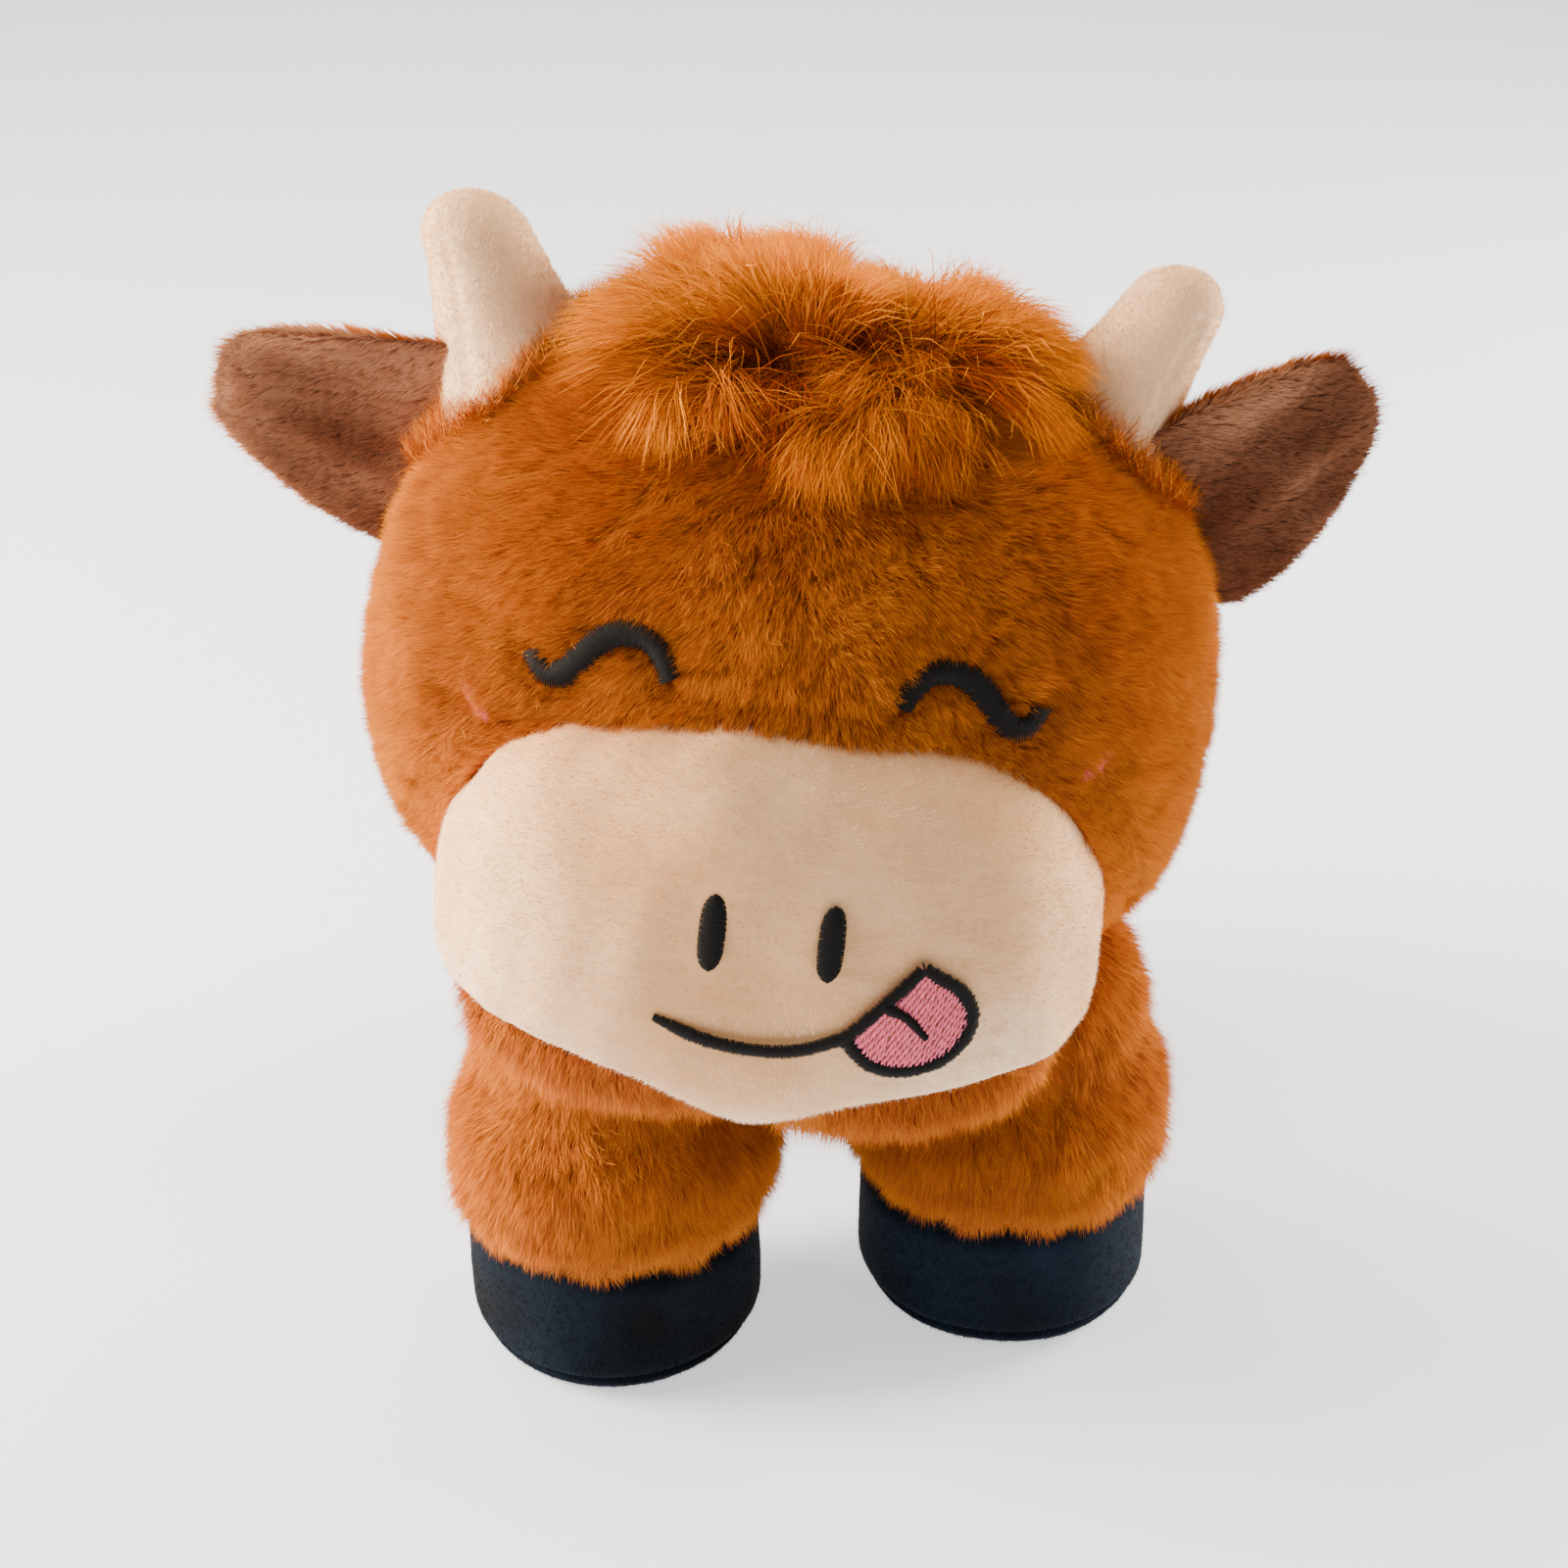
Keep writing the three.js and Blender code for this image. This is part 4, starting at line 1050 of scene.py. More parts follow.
def satin(name, line, widths, front, lift, stitch, seed, closed=False, ragged=0.15):
    """Satin stitch along a line on a face: close threads across it from edge to edge, with ragged ends."""
    rng = np.random.default_rng(seed)
    way = unit(np.roll(line, -1, 0) - np.roll(line, 1, 0)) if closed else unit(np.gradient(line, axis=0))
    side = np.stack([-way[:, 1], way[:, 0]], -1)
    slant = way * rng.normal(0.12, 0.02, (len(line), 1))
    reach = widths[:, None] / 2 * rng.uniform(1 - ragged, 1 + ragged, (len(line), 1))
    start, end = line - (side - slant) * reach, line + (side - slant) * reach

    def at(places, raised):
        """Places on the face, raised off it."""
        return front(places[:, 0], places[:, 1], np.full(len(places), raised))

    normals = unit(at(line, lift + 1e-4) - at(line, lift))
    return threads(name, at(start, lift), at(end, lift), normals, stitch.thread, 0.0003 + 0.06 * widths)


class COW_OT_face(bpy.types.Operator):
    """Face: eyes, nostrils and smile in black satin stitch, a filled pink tongue and blushing cheeks"""

    bl_idname = "cow.face"
    bl_label = "Face embroidery"

    def execute(self, context):
        placed = Placed(context.scene)
        stitch = context.scene.cow_stitch
        black = thread_material("black_floss", stitch.black)
        pink = thread_material("pink_floss", stitch.pink)
        blush = thread_material("blush_floss", stitch.blush)

        def on_head(x, z, lift):
            return placed.to_toy(placed.head_front(x, z, lift))

        def on_muzzle(x, z, lift):
            return placed.to_toy(placed.muzzle_front(x, z, lift))

        for name, side in SIDES:
            line = eye_line(side, int(EYE["run"] / stitch.pitch))
            full = np.sin(np.pi * np.linspace(0.04, 0.96, len(line))) ** 0.4
            widths = stitch.eye_stroke * (0.8 + 0.2 * full)
            eye = satin(f"eye_{name}_satin", line, widths, on_head, -0.0016, stitch, 31 + side)
            finish_with(eye, black, "torso", "black_thread", f"eye_{name}")

            line = nostril_line(side, int(NOSTRIL["height"] / stitch.pitch / 0.8))
            way = np.linspace(-1, 1, len(line))
            widths = NOSTRIL["width"] * (1.02 - np.abs(way) ** 3.5) ** 0.5
            nostril = satin(f"nostril_{name}_satin", line, widths, on_muzzle, 0.0, stitch, 41 + side,
                            ragged=0.03)
            finish_with(nostril, black, "torso", "black_thread", f"nostril_{name}")

            rows = np.linspace(-1, 1, int(CHEEK["width"] / stitch.pitch))
            tilt = math.radians(side * CHEEK["tilt"])
            centre = np.array([side * (placed.half[0] - CHEEK["inside"]), CHEEK["above"]])
            line = centre + rows[:, None] * CHEEK["width"] / 2 * np.array([math.cos(tilt), math.sin(tilt)])
            widths = CHEEK["height"] * np.sqrt(np.clip(1.05 - rows**2, 0, 1))
            cheek = satin(f"cheek_{name}_satin", line, widths, on_head, -0.0025, stitch, 51 + side)
            finish_with(cheek, blush, "torso", "pink_thread", f"cheek_{name}")

        line = smile_line(int(SMILE["run"] / stitch.pitch))
        widths = stitch.mouth_stroke * ease(np.linspace(0, 1, len(line)), -0.25, 0.2)
        piece = satin("smile_satin", line, widths, on_muzzle, 0.0001, stitch, 61, ragged=0.08)
        finish_with(piece, black, "torso", "black_thread", "smile")

        edge = tongue_edge(stitch.pitch)
        widths = np.full(len(edge), stitch.tongue_stroke)
        outline = satin("tongue_outline_satin", edge, widths, on_muzzle, 0.0003, stitch, 63, closed=True)
        finish_with(outline, black, "torso", "black_thread", "tongue_outline")
        line = tongue_line(CREASE_SHARES, int(CREASE_RUN / stitch.pitch))
        widths = stitch.tongue_stroke * np.linspace(0.9, 0.45, len(line))
        crease = satin("tongue_crease_satin", line, widths, on_muzzle, 0.0005, stitch, 64)
        finish_with(crease, black, "torso", "black_thread", "tongue_outline")
        self.fill_tongue(edge, on_muzzle, stitch, pink)
        return {"FINISHED"}

    def fill_tongue(self, edge, front, stitch, material):
        """Rows of short pink stitches, cut by the tongue's edge, that start in brick order."""
        rng = np.random.default_rng(65)
        tilt = math.radians(TONGUE["tilt"])
        along = np.array([math.cos(tilt), math.sin(tilt)])
        across = np.array([-along[1], along[0]])
        places = edge @ np.stack([along, across], -1)
        pitch, reach = stitch.pitch * 1.15, TONGUE["reach"]
        starts, ends = [], []
        levels = np.arange(places[:, 1].min() + pitch, places[:, 1].max() - pitch / 2, pitch)
        for row, level in enumerate(levels):
            ahead = np.roll(places, -1, 0)
            crossing = (places[:, 1] - level) * (ahead[:, 1] - level) < 0
            a, b = places[crossing], ahead[crossing]
            hits = np.sort(a[:, 0] + (level - a[:, 1]) / (b[:, 1] - a[:, 1]) * (b[:, 0] - a[:, 0]))
            if len(hits) < 2:
                continue
            cuts = np.arange(hits[0] - reach * ((row * 0.37) % 1), hits[-1], reach)
            cuts = np.clip(np.append(cuts, hits[-1]), hits[0], hits[-1])
            starts.append(np.stack([cuts[:-1], np.full(len(cuts) - 1, level)], -1))
            ends.append(np.stack([cuts[1:], np.full(len(cuts) - 1, level)], -1))
        back = np.stack([along, across])
        start, end = (np.concatenate(x) @ back for x in (starts, ends))
        long = np.linalg.norm(end - start, axis=1) > 0.0005
        start, end = start[long], end[long] + rng.normal(0, 0.0001, (long.sum(), 2))
        lift = np.full(len(start), 0.0001)
        a, b = front(start[:, 0], start[:, 1], lift), front(end[:, 0], end[:, 1], lift)
        up = unit(front(start[:, 0], start[:, 1], lift + 1e-4) - a)
        fill = threads("tongue_fill", a, b, up, stitch.thread * 1.1, 0.00035)
        finish_with(fill, material, "torso", "pink_thread", "tongue")


HORN = {
    "behind": 0.002, "sunk": 0.027, "lumps": 0.015, "lump_size": 0.018, "seam": 0.05, "seam_width": 0.11,
    "seam_turn": 0.5, "collar": (-0.003, 0.006),
}


class COW_OT_horns(bpy.types.Operator):
    """Horns: blunt cream cones that bend outwards, with a seam and a soft nap"""

    bl_idname = "cow.horns"
    bl_label = "Horns"

    def execute(self, context):
        placed = Placed(context.scene)
        horn, fur = context.scene.cow_horn, context.scene.cow_fur
        plush, loose = cream_materials("horn", horn.cream_deep, horn.cream)
        strands = fur_materials()[0]
        shaft = horn.length - horn.tip / 2
        for name, side in SIDES:
            node = f"horn_{name}"
            lean = turn(Y, side * getattr(horn, f"{name}_lean"))
            aside = side * getattr(horn, f"{name}_foot")
            foot = np.array([aside, HORN["behind"], placed.half[2] - HORN["sunk"]])
            girth = getattr(horn, f"{name}_girth")

            def form(u, v):
                """Rings round a bent line: it narrows to a domed tip and flares at its inner side."""
                around = 2 * np.pi * u
                high = horn.length * (1 - v)
                t = np.clip(high / shaft, 0, 1)
                inner = (1 - side * np.cos(around)) / 2
                flare = (horn.root - horn.neck) * (1 - t) ** 3 * inner
                dome = np.clip((high - shaft) / (horn.length - shaft), 0, 1)
                neck = (horn.neck + (horn.tip - horn.neck) * t) * girth / 2
                local = ring_points((neck + flare / 2) * np.sqrt(1 - dome**2), around, high)
                local[..., :2] *= 1 + HORN["lumps"] * ripple(local, HORN["lump_size"], 90 + side)[..., None]
                off_seam = np.angle(np.exp(1j * (around + math.pi / 2 - HORN["seam_turn"] * side)))
                seam = np.exp(-((off_seam / HORN["seam_width"]) ** 2)) * (1 - dome)
                local[..., :2] *= 1 - HORN["seam"] * seam[..., None]
                local[..., 0] += side * horn.bend * (high / horn.length) ** 2
                return placed.to_toy(local @ lean.T + foot)

            def round_horn(roots):
                """A narrow ring round the horn's foot."""
                local = placed.to_head(roots) - foot
                flat = np.linalg.norm(local - (local @ lean[:, 2:]) * lean[:, 2], axis=1)
                low, high = (horn.neck / 2 + more for more in HORN["collar"])
                return (flat < high) & (flat > low)

            base = shell(f"{node}_plush", form, 64, 70, flat_end=True)
            finish_with(base, plush, "torso", "cream_plush", node, fill=0.9)
            soft = nap(f"{node}_nap", form, steady(Z), lambda p: ~placed.inside_head(p, -0.003), 95 + side,
                       shade=0.6, **CREAM_NAP)
            finish_with(soft, loose, "torso", "cream_plush", node)
            outward = steady(placed.turned @ (lean[:, 2] + 0.4 * side * X))
            collar = coat(f"{node}_collar", placed.head_form(fur.depth), fur, outward, round_horn, 97 + side,
                          density=0.35, pile=1.5, rise=1.1, joints=2)
            finish_with(collar, strands, "torso", "rust_fur", "head_cover")
        return {"FINISHED"}


# The ears' shade classes run from painted shade at the hem to painted light at the top.
EARS = {
    "left": {"raised": 0.0005, "twist": 20, "lift": 46, "low_tone": 0.1, "high_tone": 0.74},
    "right": {"raised": 0.0028, "twist": 18, "lift": 9, "low_tone": 0.4, "high_tone": 0.78},
}
EAR_FORWARD = 8
EAR_INSET = 0.0012
EAR_PILES = {"lining": 0.0021, "back": 0.0046}


class COW_OT_ears(bpy.types.Operator):
    """Ears: cupped paddles with a brushed mocha lining and a rust back"""

    bl_idname = "cow.ears"
    bl_label = "Ears"

    def execute(self, context):
        placed = Placed(context.scene)
        ear = context.scene.cow_ear
        strands = fur_materials()[0]
        lining = plush_material("mocha_velour", dimmed(ear.mocha, 0.6), ear.mocha, 600.0, 0.5, 0.3)
        # The lining strands; their lightest colour also paints light on the ear's top.
        brushed = strand_material("mocha_strands", dimmed(ear.mocha, 0.45), ear.mocha, ear.mocha,
                                  ear.mocha_pale_and_painted_light)
        for name, side in SIDES:
            own = EARS[name]
            hem = joint_place(f"ear_{name}_flap") + placed.turned @ (Z * own["raised"])
            forward, lift, twist = (math.radians(a) for a in (EAR_FORWARD, own["lift"], own["twist"]))
            turned = placed.turned @ turn(Z, side * forward) @ turn(Y, -side * lift) @ turn(X, twist)

            def form(u, v):
                """A ball squared to a paddle, thinned to the hem and cupped as height squared."""
                points = ball(u, v)
                along = (points[..., 2] + 1) / 2
                square = 0.25 + 0.15 * ease(-points[..., 2], -0.1, 0.5)
                full = np.clip(1 - points[..., 2] ** 2, 1e-9, 1) ** -square
                spread = (ear.root + (ear.width - ear.root) * along) / 2 - EAR_INSET
                thin = ear.hem / ear.thickness + (1 - ear.hem / ear.thickness) * np.clip(2 * along, 0, 1)
                flatter = np.where(points[..., 0] * side < 0, 0.55, 1.0)
                deep = flatter * (ear.thickness / 2 - EAR_INSET) * thin
                high = points[..., 1] * full
                thick = side * points[..., 0] * full * deep
                belly = np.sin(np.pi * np.clip(along, 0, 1))
                cup = -ear.cup * (high**2 - 0.35) * belly**0.7
                crease = -0.0022 * np.exp(-(((high + 0.25) / 0.22) ** 2)) * belly
                wave = crease + 0.0008 * ripple(points, 1.1, 120 + side)
                out = -ear.sunk + EAR_INSET + along * (ear.length + ear.sunk - 2 * EAR_INSET)
                return np.stack([side * out, thick + cup + wave, high * spread], -1) @ turned.T + hem

            base = shell(f"ear_{name}_cloth", form, 96, 60)
            finish_with(base, lining, f"ear_{name}", "mocha_plush", f"ear_{name}_back", f"ear_{name}_lining",
                        fill=0.35)

            rng = np.random.default_rng(130 + side)
            roots, normals = rooted(form, 15.0, lambda p: ~placed.inside_head(p, -0.006), rng)
            front = (normals @ turned)[:, 1] < 0.7
            centres, chance = clumps(roots, 0.0045, 131)
            way = side * turned[:, 0] - 0.5 * Z + 0.12 * (chance - 0.5)
            flow = flatten(way + rng.normal(0, 0.16, roots.shape), normals)
            low_tone, rise = own["low_tone"], own["high_tone"] - own["low_tone"]
            height = ((roots - hem) @ turned)[:, 2]
            # Painted light and shade: darker at the hem and lighter towards the top, over random bands.
            bands = 0.3 * ripple(roots, 0.02, 133) + rise * ease(height, 0.002, 0.016)
            shades = low_tone + bands + 0.05 * (chance[:, 0] - 0.5) + rng.normal(0, 0.07, len(roots))
            for part, mask, material, slot in (
                ("lining", front, brushed, "mocha_plush"),
                ("back", ~front, strands, "rust_fur"),
            ):
                lengths = EAR_PILES[part] * rng.uniform(0.7, 1.2, mask.sum())
                piece = blades(f"ear_{name}_{part}_pile", roots[mask], normals[mask], flow[mask], lengths,
                               0.00022, 0.5, shades[mask], rng, pull=(centres - roots)[mask] * 0.15)
                finish_with(piece, material, f"ear_{name}", slot, f"ear_{name}_{part}")
        return {"FINISHED"}


TOPKNOT = {
    "half": (0.0310, 0.0235), "middle": (0.0015, -0.0115), "parting": 0.006,
    "left_whirl": (0.0125, -0.0155), "right_whirl": (-0.0036, -0.0255), "between": 0.005,
}


class COW_OT_topknot(bpy.types.Operator):
    """Topknot: long locks that whirl out from the crown and fall over the forehead"""

    bl_idname = "cow.topknot"
    bl_label = "Topknot"

    def execute(self, context):
        placed = Placed(context.scene)
        knot = context.scene.cow_topknot
        hair = strand_material("topknot_strands", knot.root_dark, knot.root_light, knot.tip_dark,
                               knot.tip_light, 0.55, 0.0, (0.1, 0.8))
        rng = np.random.default_rng(201)

        def spread(count):
            """Even places in the topknot's ellipse, in head X and Y."""
            ring, around = np.sqrt(rng.random(count)), rng.uniform(0, 2 * np.pi, count)
            flat = np.stack([np.cos(around), np.sin(around)], -1)
            return np.array(TOPKNOT["middle"]) + np.array(TOPKNOT["half"]) * ring[:, None] * flat

        def whirled(places):
            """How each place lies from the whirl of its own lobe."""
            on_right = ease(TOPKNOT["between"] - places[:, :1], -0.002, 0.002)
            left, right = np.array(TOPKNOT["left_whirl"]), np.array(TOPKNOT["right_whirl"])
            return places - right * on_right - left * (1 - on_right)

        locks, roots = spread(knot.locks), spread(knot.count)
        flat = np.c_[roots, np.zeros(knot.count)]
        bent = roots + 0.0022 * np.stack([ripple(flat, 0.008, 210 + k) for k in (0, 1)], -1)
        nearest = ((bent[:, None] - locks[None]) ** 2).sum(-1).argmin(1)
        out = whirled(locks)
        far = np.linalg.norm(out, axis=1)
        bend = rng.normal(0, 0.2, knot.locks)
        back = ease(locks[:, 1], -0.019, -0.006)
        notch = back * np.exp(-(((locks[:, 0] - TOPKNOT["parting"]) / 0.006) ** 2))
        parted = np.where(locks[:, 0] < TOPKNOT["parting"], -1, 1) * back * (1 - notch)
        forelock = ease(-locks[:, 1], 0.018, 0.028)
        short = forelock * ease(locks[:, 0], 0.008, 0.018)
        turned_out = unit(out) * (1 - 0.45 * forelock[:, None] * [1, 0]) + 0.6 * forelock[:, None] * [0, -1]
        turned_out = turned_out + 0.35 * parted[:, None] * [1, 0.1]
        turned_out = turned_out + rng.normal(0, 0.26, locks.shape)
        reach = (0.74 + 0.2 * ease(far, 0.002, 0.016)) * rng.uniform(0.8, 1.12, knot.locks)
        reach = reach * (1 - 0.25 * short - 0.25 * notch)
        stand = 0.42 + 0.09 * rng.normal(size=knot.locks) - 0.12 * forelock - 0.3 * notch + 0.06 * back
        stand = np.clip(stand, 0.08, 0.8)
        # Painted light and shade: the whirl's middle is painted dark as shade in its parting, the back locks
        # are painted lighter as if lit from behind, and the forelock darker as if in shade.
        whirl_painted_shade = np.exp(-((far / 0.0075) ** 2))
        tone_and_painted_light = 0.09 * rng.normal(size=knot.locks) + 0.44 * back - 0.16 * forelock - 0.6 * whirl_painted_shade

        across, along = (np.abs(roots[:, k]) / placed.half[k] for k in (0, 1))
        power = placed.head.power
        rest = np.clip(1 - across**power - along**power, 0.01, 1)
        local = np.c_[roots, (placed.half[2] - 0.003) * rest ** (1 / power)]
        normals = unit(local / placed.half**2)
        loose = (rng.random(knot.count) < 0.12)[:, None]
        away = np.c_[unit(turned_out)[nearest], np.zeros(knot.count)]
        away = unit(away + rng.normal(0, 0.23, away.shape) + loose * rng.normal(0, 0.5, away.shape))
        flow = flatten(away, normals)
        lengths = knot.hair * reach[nearest] * rng.uniform(0.82, 1.08, knot.count)
        aside = np.cross(normals, flow)
        offset = np.c_[locks[nearest] - roots, np.zeros(knot.count)]
        pull = 0.45 * offset * (1 - 0.6 * loose) + aside * (bend[nearest] * lengths)[:, None]
        shades = 0.52 + tone_and_painted_light[nearest] + rng.normal(0, 0.13, knot.count)
        rise = np.clip(stand[nearest] + rng.normal(0, 0.05, knot.count) + 0.15 * loose[:, 0], 0.1, 0.92)
        widths = knot.strand * rng.uniform(0.6, 1.3, knot.count)
        normals, flow, pull = (way @ placed.turned.T for way in (normals, flow, pull))
        piece = blades("topknot_locks", placed.to_toy(local), normals, flow, lengths, widths, rise, shades,
                       rng, joints=3, pull=pull, curl=0.0006, droop=0.14)
        finish_with(piece, hair, "torso", "long_fur", "topknot")
        return {"FINISHED"}


LADDER = {"step": 0.0036, "half": 0.0022, "slant": 0.0016, "lift": 0.002}


class COW_OT_torso(bpy.types.Operator):
    """Torso: stuffed cloth under a fur coat, closed along the belly by a ladder stitch"""

    bl_idname = "cow.torso"
    bl_label = "Torso"

    def execute(self, context):
        placed = Placed(context.scene)
        fur, body = context.scene.cow_fur, context.scene.cow_body
        strands, cloth = fur_materials()
        base = shell("torso_cloth", placed.torso_form(fur.depth), 96, 64)
        finish_with(base, cloth, "torso", "rust_fur", "torso_cover", "torso_stuffing", fill=0.85)

        def comb(roots):
            """Backwards, down and outwards."""
            aside = 0.4 * (roots[:, 0] - placed.torso_middle[0]) / placed.torso_half[0]
            return np.stack([aside, np.full(len(roots), 0.75), np.full(len(roots), -0.75)], -1)

        for name, side in SIDES:
            def keep(roots, side=side):
                """One half of the torso, outside head and muzzle."""
                half = np.sign(roots[:, 0] - placed.torso_middle[0]) == side
                return half & ~placed.inside_head(roots, -0.003) & ~placed.inside_muzzle(roots, -0.003)

            piece = coat(f"torso_fur_{name}", placed.torso_form(fur.depth), fur, comb, keep, 300 + side,
                         density=0.4, pile=1.2, width=1.5, rise=0.85)
            finish_with(piece, strands, "torso", "rust_fur", "torso_cover")
        low, high = (np.array(c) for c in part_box("belly_seam"))
        rungs = np.arange(low[1], high[1], LADDER["step"])
        rest = 1 - (np.abs(rungs - placed.torso_middle[1]) / placed.torso_half[1]) ** TORSO_POWER
        belly = placed.torso_middle[2] - placed.torso_half[2] * np.clip(rest, 0, 1) ** (1 / TORSO_POWER)
        x = np.full(len(rungs), (low[0] + high[0]) / 2 - LADDER["half"])
        start = np.stack([x, rungs, belly + LADDER["lift"]], -1)
        end = start + np.array([2 * LADDER["half"], LADDER["slant"], 0])
        ladder = threads("belly_ladder", start, end, np.broadcast_to(-Z, start.shape), 0.0007, 0.0006)
        thread = thread_material("ladder_thread", body.seam_thread)
        finish_with(ladder, thread, "torso", "seam_thread", "belly_seam")
        return {"FINISHED"}


class COW_OT_legs(bpy.types.Operator):
    """Legs: stuffed tubes whose fur hangs over the hooves"""

    bl_idname = "cow.legs"
    bl_label = "Legs"

    def execute(self, context):
        placed = Placed(context.scene)
        fur, body = context.scene.cow_fur, context.scene.cow_body
        strands, cloth = fur_materials()
        for number, place in enumerate(PLACES):
            foot = joint_place(f"leg_{place}_swing")
            form = placed.leg_form(foot, fur.depth * 0.9, number)
            base = shell(f"leg_{place}_cloth", form, 80, 50, flat_end=True)
            finish_with(base, cloth, f"leg_{place}", "rust_fur", f"leg_{place}", fill=0.85)

            def comb(roots, foot=foot):
                """Down and away from the leg's own line."""
                return np.concatenate([(roots[:, :2] - foot[:2]) * 6, np.full((len(roots), 1), -1.0)], -1)

            def keep(roots):
                """Outside head, muzzle and torso, and above a ragged hem over the hoof."""
                hem = body.hoof_height + 0.0012 + 0.0012 * ripple(roots, 0.012, 31)
                inside = placed.inside_head(roots, -0.006) | placed.inside_muzzle(roots, -0.006)
                return ~inside & ~placed.inside_torso(roots, -0.006) & (roots[:, 2] > hem)

            def trim(roots):
                """Shorter in the fringe over the hoof, and uneven."""
                fringe = ease(roots[:, 2], body.hoof_height, body.hoof_height + body.fringe)
                return 0.72 + 0.28 * fringe + 0.16 * ripple(roots, 0.009, 32)

            density = 0.6 if "front" in place else 0.44
            # light=-0.12 paints shade: the legs' fur is darker as they stand in the head's shadow.
            piece = coat(f"leg_{place}_fur", form, fur, comb, keep, 400 + number, trim, density=density,
                         pile=1.25, width=1.25, rise=0.8, light=-0.12)
            finish_with(piece, strands, f"leg_{place}", "rust_fur", f"leg_{place}")
        return {"FINISHED"}


HOOF = {"wider": 0.0004, "top": 0.006, "top_in": 0.005, "groove": 0.0012, "groove_width": 0.0008}


class COW_OT_hooves(bpy.types.Operator):
    """Hooves: navy plush feet with a flat sole seamed on"""

    bl_idname = "cow.hooves"
    bl_label = "Hooves"

    def execute(self, context):
        body = context.scene.cow_body
        plush = plush_material("navy_velour", body.navy, body.navy_light, 500.0, 0.4, 0.3, 0.9)
        loose = strand_material("navy_nap", body.navy, body.navy, body.navy, body.navy_light, 0.8, 0.35)
        for number, place in enumerate(PLACES):
            foot = joint_place(f"leg_{place}_swing")

            def form(u, v, inset=0.0):
                """Rings about an upright line: a rounded foot, a drawn-in top and a groove at the sole."""
                high = body.hoof_height * (1 - v)
                under = np.clip(1 - high / body.hoof_round, 0, 1)
                over = np.clip((high - body.hoof_height + HOOF["top"]) / HOOF["top"], 0, 1)
                side = body.hoof_width / 2 + HOOF["wider"]
                groove = HOOF["groove"] * np.exp(-(((high - body.sole_seam) / HOOF["groove_width"]) ** 2))
                radius = side - body.hoof_round * (1 - np.sqrt(1 - under**2)) - HOOF["top_in"] * over**2
                radius = radius - groove - inset
                local = ring_points(radius, 2 * np.pi * u, high)
                local[..., :2] *= 1 + 0.014 * ripple(local, 0.03, 500 + number)[..., None]
                return local + np.array([foot[0], foot[1], 0])

            base = shell(f"hoof_{place}_plush", form, 90, 70, flat_end=True)
            finish_with(base, plush, f"leg_{place}", "navy_plush", f"hoof_{place}", f"sole_{place}",
                        fill=0.9)
            soft = nap(f"hoof_{place}_nap", lambda u, v: form(u, v * 0.985, 0.0003), steady(-Z),
                       lambda p: p[:, 2] > 0.0016, 510 + number, shade=0.3, **HOOF_NAP)
            finish_with(soft, loose, f"leg_{place}", "navy_plush", f"hoof_{place}")
        return {"FINISHED"}


TUFT = {"count": 1800, "ring": 0.0035, "height": 0.006}


class COW_OT_tail(bpy.types.Operator):
    """Tail: a thin fur cord with a tuft of long hair"""

    bl_idname = "cow.tail"
    bl_label = "Tail"

    def execute(self, context):
        body, fur, knot = context.scene.cow_body, context.scene.cow_fur, context.scene.cow_topknot
        strands, cloth = fur_materials()
        root = joint_place("tail_swing")
        low, high = (np.array(c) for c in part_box("tail_tuft"))
        reach = (low[1] + high[1]) / 2 - root[1]

        def form(u, v):
            """Rings down a line that leans back as a quarter sine, wider at the root and closed above it."""
            radius = (body.tail_width / 2 * (1 - 0.3 * v) - 0.003) * np.sqrt(np.clip(v * 14, 0, 1))
            local = ring_points(radius, -2 * np.pi * u, -(body.tail_length * v))
            local[..., 1] += reach * np.sin(np.clip(v, 0, 1) * np.pi / 2)
            return root + local

        base = shell("tail_cloth", form, 32, 40, flat_end=True)
        base.data.flip_normals()
        finish_with(base, cloth, "tail", "rust_fur", "tail_cord", fill=0.7)
        piece = coat("tail_fur", lambda u, v: form(-u, v), fur, steady([0, 0.1, -1]), everywhere, 601,
                     pile=0.7)
        finish_with(piece, strands, "tail", "rust_fur", "tail_cord")
        rng = np.random.default_rng(611)
        count = TUFT["count"]
        around, ring = rng.uniform(0, 2 * np.pi, count), np.sqrt(rng.random(count))
        flat = np.stack([np.cos(around), np.sin(around), np.zeros(count)], -1)
        roots = root + np.array([0, reach, -body.tail_length]) + flat * ring[:, None] * TUFT["ring"]
        roots[:, 2] += rng.uniform(0, TUFT["height"], count)
        hair = bpy.data.materials["topknot_strands"]
        lengths = body.tuft_length * rng.uniform(0.6, 0.98, count)
        shades = 0.5 + rng.normal(0, 0.18, count)
        down = np.broadcast_to(-Z, flat.shape)
        tuft = blades("tail_tuft_hair", roots, flat, down, lengths, knot.strand * 1.1, 0.2 * ring + 0.04,
                      shades, rng, joints=5, curl=0.0012)
        finish_with(tuft, hair, "tail", "long_fur", "tail_tuft")
        return {"FINISHED"}


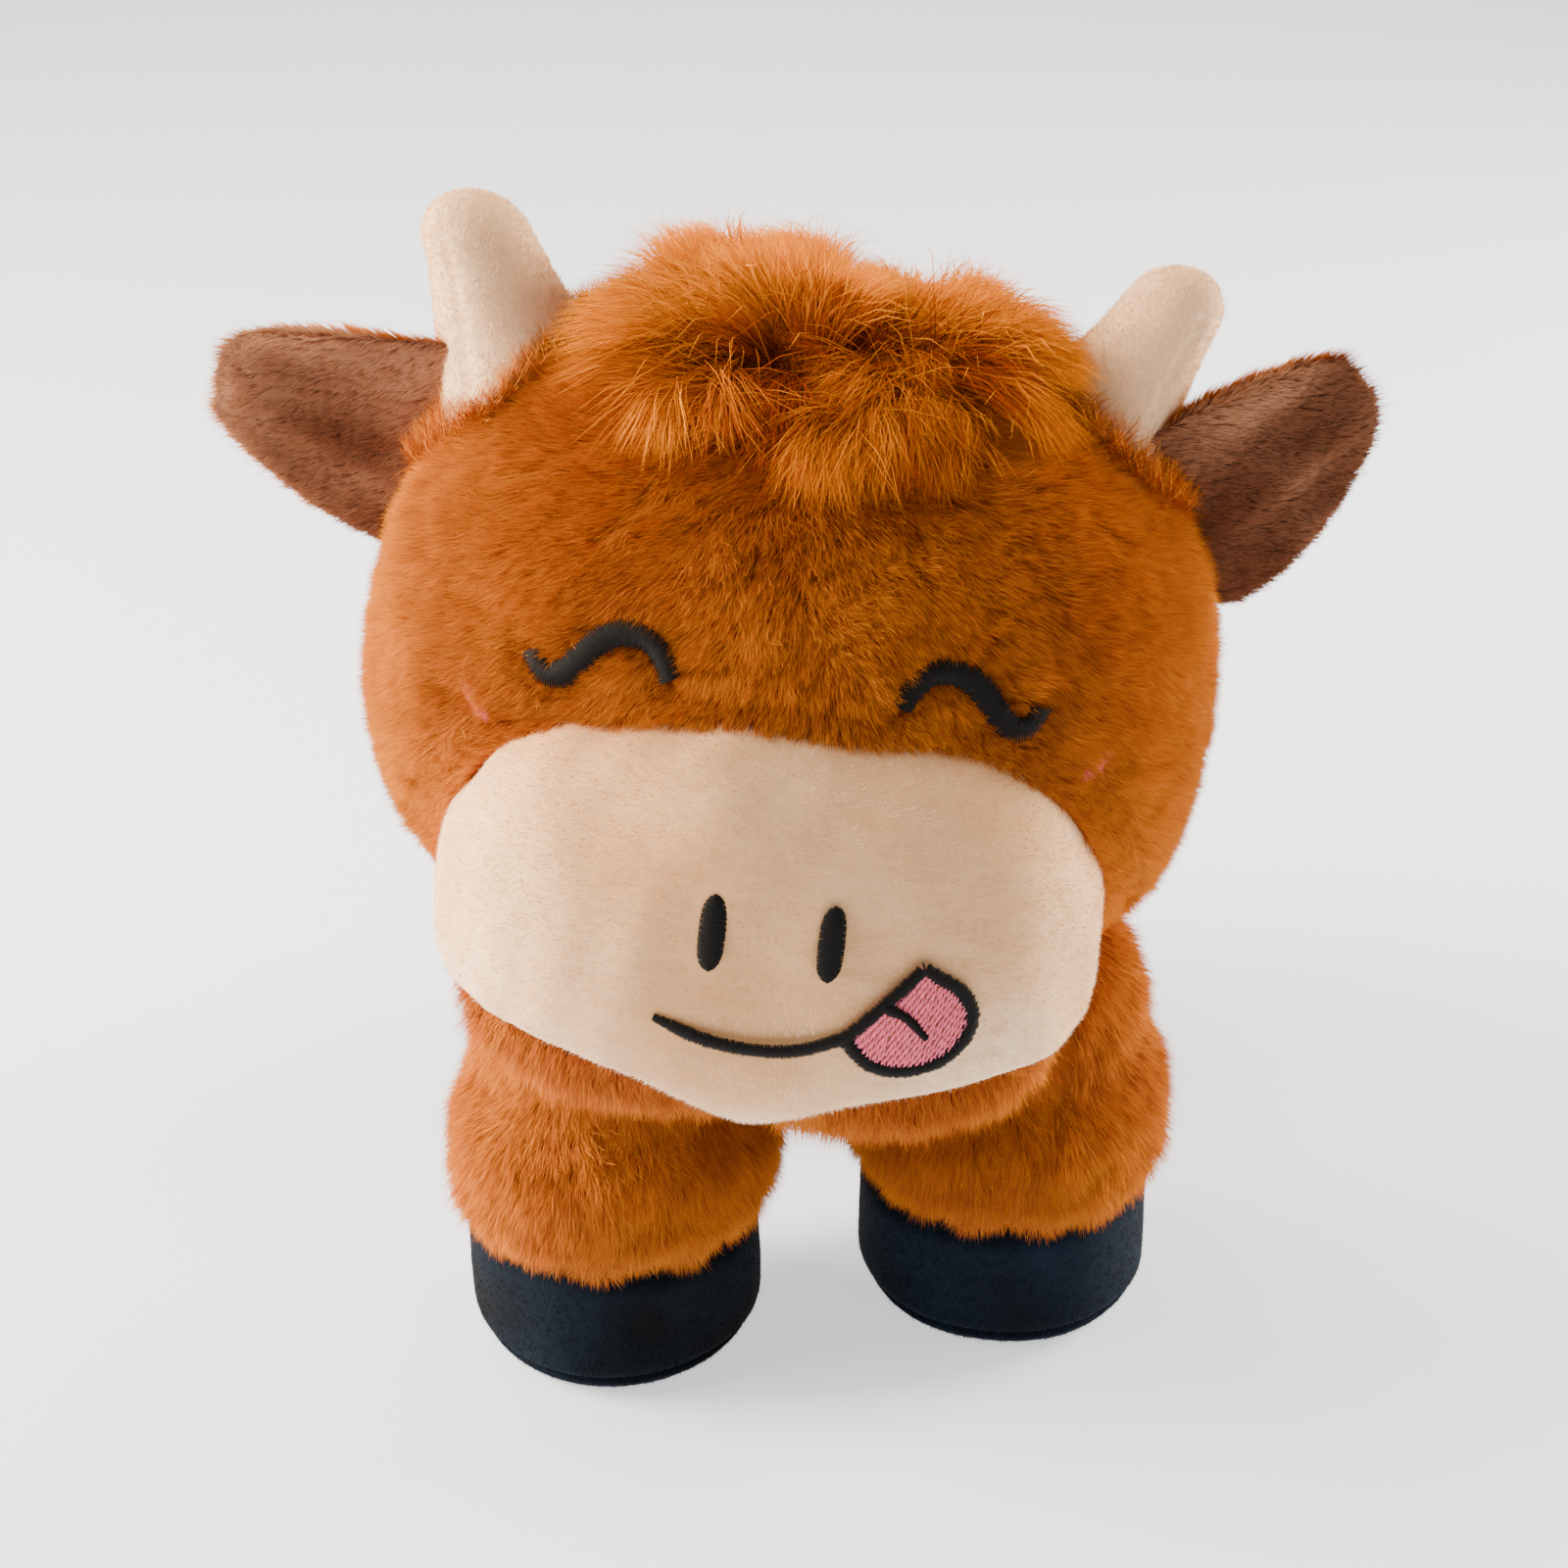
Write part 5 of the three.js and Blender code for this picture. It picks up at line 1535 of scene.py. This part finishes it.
class COW_OT_squeaker(bpy.types.Operator):
    """Squeaker: moulded plastic on the solids inside the stuffing"""

    bl_idname = "cow.squeaker"
    bl_label = "Squeaker"

    def execute(self, context):
        colour = context.scene.cow_body.plastic
        material, nodes, links, shader = new_material("squeaker_plastic", 0.42, specular=0.5)
        grain = noise(nodes, links, 700.0, 2.0)
        shaded = ramp(nodes, links, grain, (0.35, dimmed(colour, 0.9)), (0.65, colour))
        links.new(shaded, shader.inputs["Base Color"])
        bumped(nodes, links, shader, grain, 0.1, 0.0001)
        for node in ("squeaker_base", "squeaker_crown", "squeaker_reed"):
            data = frame["nodes"][node].data
            data.materials.clear()
            data.materials.append(material)
        return {"FINISHED"}

LAMPS = (
    ("key_light", (-0.95, -0.1, 0.8), 0.7, "key", 1),
    ("fill_light", (0.8, -0.9, 0.5), 0.9, "fill", 1),
    ("side_left", (-0.9, 0.14, 0.30), 0.5, "side", 1.15),
    ("side_right", (0.88, 0.3, 0.30), 0.5, "side", 1.05),
    ("top_back", (-0.3, 0.45, 1.0), 0.6, "side", 0.35),
)


class COW_OT_studio(bpy.types.Operator):
    """Studio: pale floor, soft lights and the photograph's camera"""

    bl_idname = "cow.studio"
    bl_label = "Studio"

    def execute(self, context):
        studio = context.scene.cow_studio
        placed = Placed(context.scene)
        material, nodes, links, shader = new_material("studio_floor", 0.9, specular=0.1)
        grain = noise(nodes, links, 6.0, 2.0)
        shaded = ramp(nodes, links, grain, (0.2, dimmed(studio.floor, 0.98)), (0.8, studio.floor))
        links.new(shaded, shader.inputs["Base Color"])
        shader.inputs["Emission Color"].default_value = (1, 1, 1, 1)
        shader.inputs["Emission Strength"].default_value = studio.glow
        bpy.ops.mesh.primitive_plane_add(size=80, location=(0, 0, -0.0002))
        floor = context.object
        floor.name = "studio_floor"
        floor.data.materials.append(material)

        aim = np.array([placed.centre[0] + studio.aim_aside, placed.centre[1], studio.aim_up])
        a, e = studio.azimuth, studio.elevation
        back = np.array([math.sin(a) * math.cos(e), -math.cos(a) * math.cos(e), math.sin(e)])
        data = bpy.data.cameras.new("photo_camera")
        data.lens, data.sensor_width = studio.lens, 36
        camera = bpy.data.objects.new("photo_camera", data)
        context.scene.collection.objects.link(camera)
        self.point(camera, aim + back * studio.distance, aim)
        context.scene.camera = camera

        for name, place, size, power, part in LAMPS:
            lamp = bpy.data.lights.new(name, "AREA")
            lamp.energy, lamp.size, lamp.color = getattr(studio, power) * part, size, studio.warm
            lamp.spread = studio.spread
            item = bpy.data.objects.new(name, lamp)
            context.scene.collection.objects.link(item)
            self.point(item, np.array(place), np.array([0, 0, 0.1]))
        world = bpy.data.worlds.new("studio_sky")
        world.use_nodes = True
        nodes, links = world.node_tree.nodes, world.node_tree.links
        sky = nodes["Background"]
        sky.inputs["Color"].default_value = (1, 0.95, 0.9, 1)
        sky.inputs["Strength"].default_value = studio.sky
        wall = nodes.new("ShaderNodeBackground")
        wall.inputs["Color"].default_value = (*studio.wall, 1)
        wall.inputs["Strength"].default_value = studio.wall_glow
        seen = nodes.new("ShaderNodeMixShader")
        links.new(nodes.new("ShaderNodeLightPath").outputs["Is Camera Ray"], seen.inputs[0])
        links.new(sky.outputs[0], seen.inputs[1])
        links.new(wall.outputs[0], seen.inputs[2])
        links.new(seen.outputs[0], nodes["World Output"].inputs["Surface"])
        context.scene.world = world
        return {"FINISHED"}

    def point(self, item, place, aim):
        """Puts an object at a place so that it looks at an aim."""
        item.location = place
        item.rotation_mode = "QUATERNION"
        item.rotation_quaternion = Vector(aim - place).to_track_quat("-Z", "Y")


OPERATORS = (
    COW_OT_studio, COW_OT_head, COW_OT_muzzle, COW_OT_face, COW_OT_horns, COW_OT_ears, COW_OT_topknot,
    COW_OT_torso, COW_OT_legs, COW_OT_hooves, COW_OT_tail, COW_OT_squeaker,
)


class COW_PT_panel(bpy.types.Panel):
    """Lists the steps that build the toy"""

    bl_label = "Plush Cow"
    bl_idname = "COW_PT_panel"
    bl_space_type = "VIEW_3D"
    bl_region_type = "UI"
    bl_category = "Plush Cow"

    def draw(self, context):
        for operator in OPERATORS:
            self.layout.operator(operator.bl_idname)


def register():
    """Adds the settings, the steps and the panel."""
    for name, group in GROUPS.items():
        bpy.utils.register_class(group)
        setattr(bpy.types.Scene, name, PointerProperty(type=group))
    for operator in OPERATORS:
        bpy.utils.register_class(operator)
    bpy.utils.register_class(COW_PT_panel)


def unregister():
    """Takes the panel, the steps and the settings away."""
    bpy.utils.unregister_class(COW_PT_panel)
    for operator in reversed(OPERATORS):
        bpy.utils.unregister_class(operator)
    for name, group in GROUPS.items():
        delattr(bpy.types.Scene, name)
        bpy.utils.unregister_class(group)


def main():
    register()
    for operator in OPERATORS:
        group, step = operator.bl_idname.split(".")
        getattr(getattr(bpy.ops, group), step)()


if __name__ == "__main__":
    main()
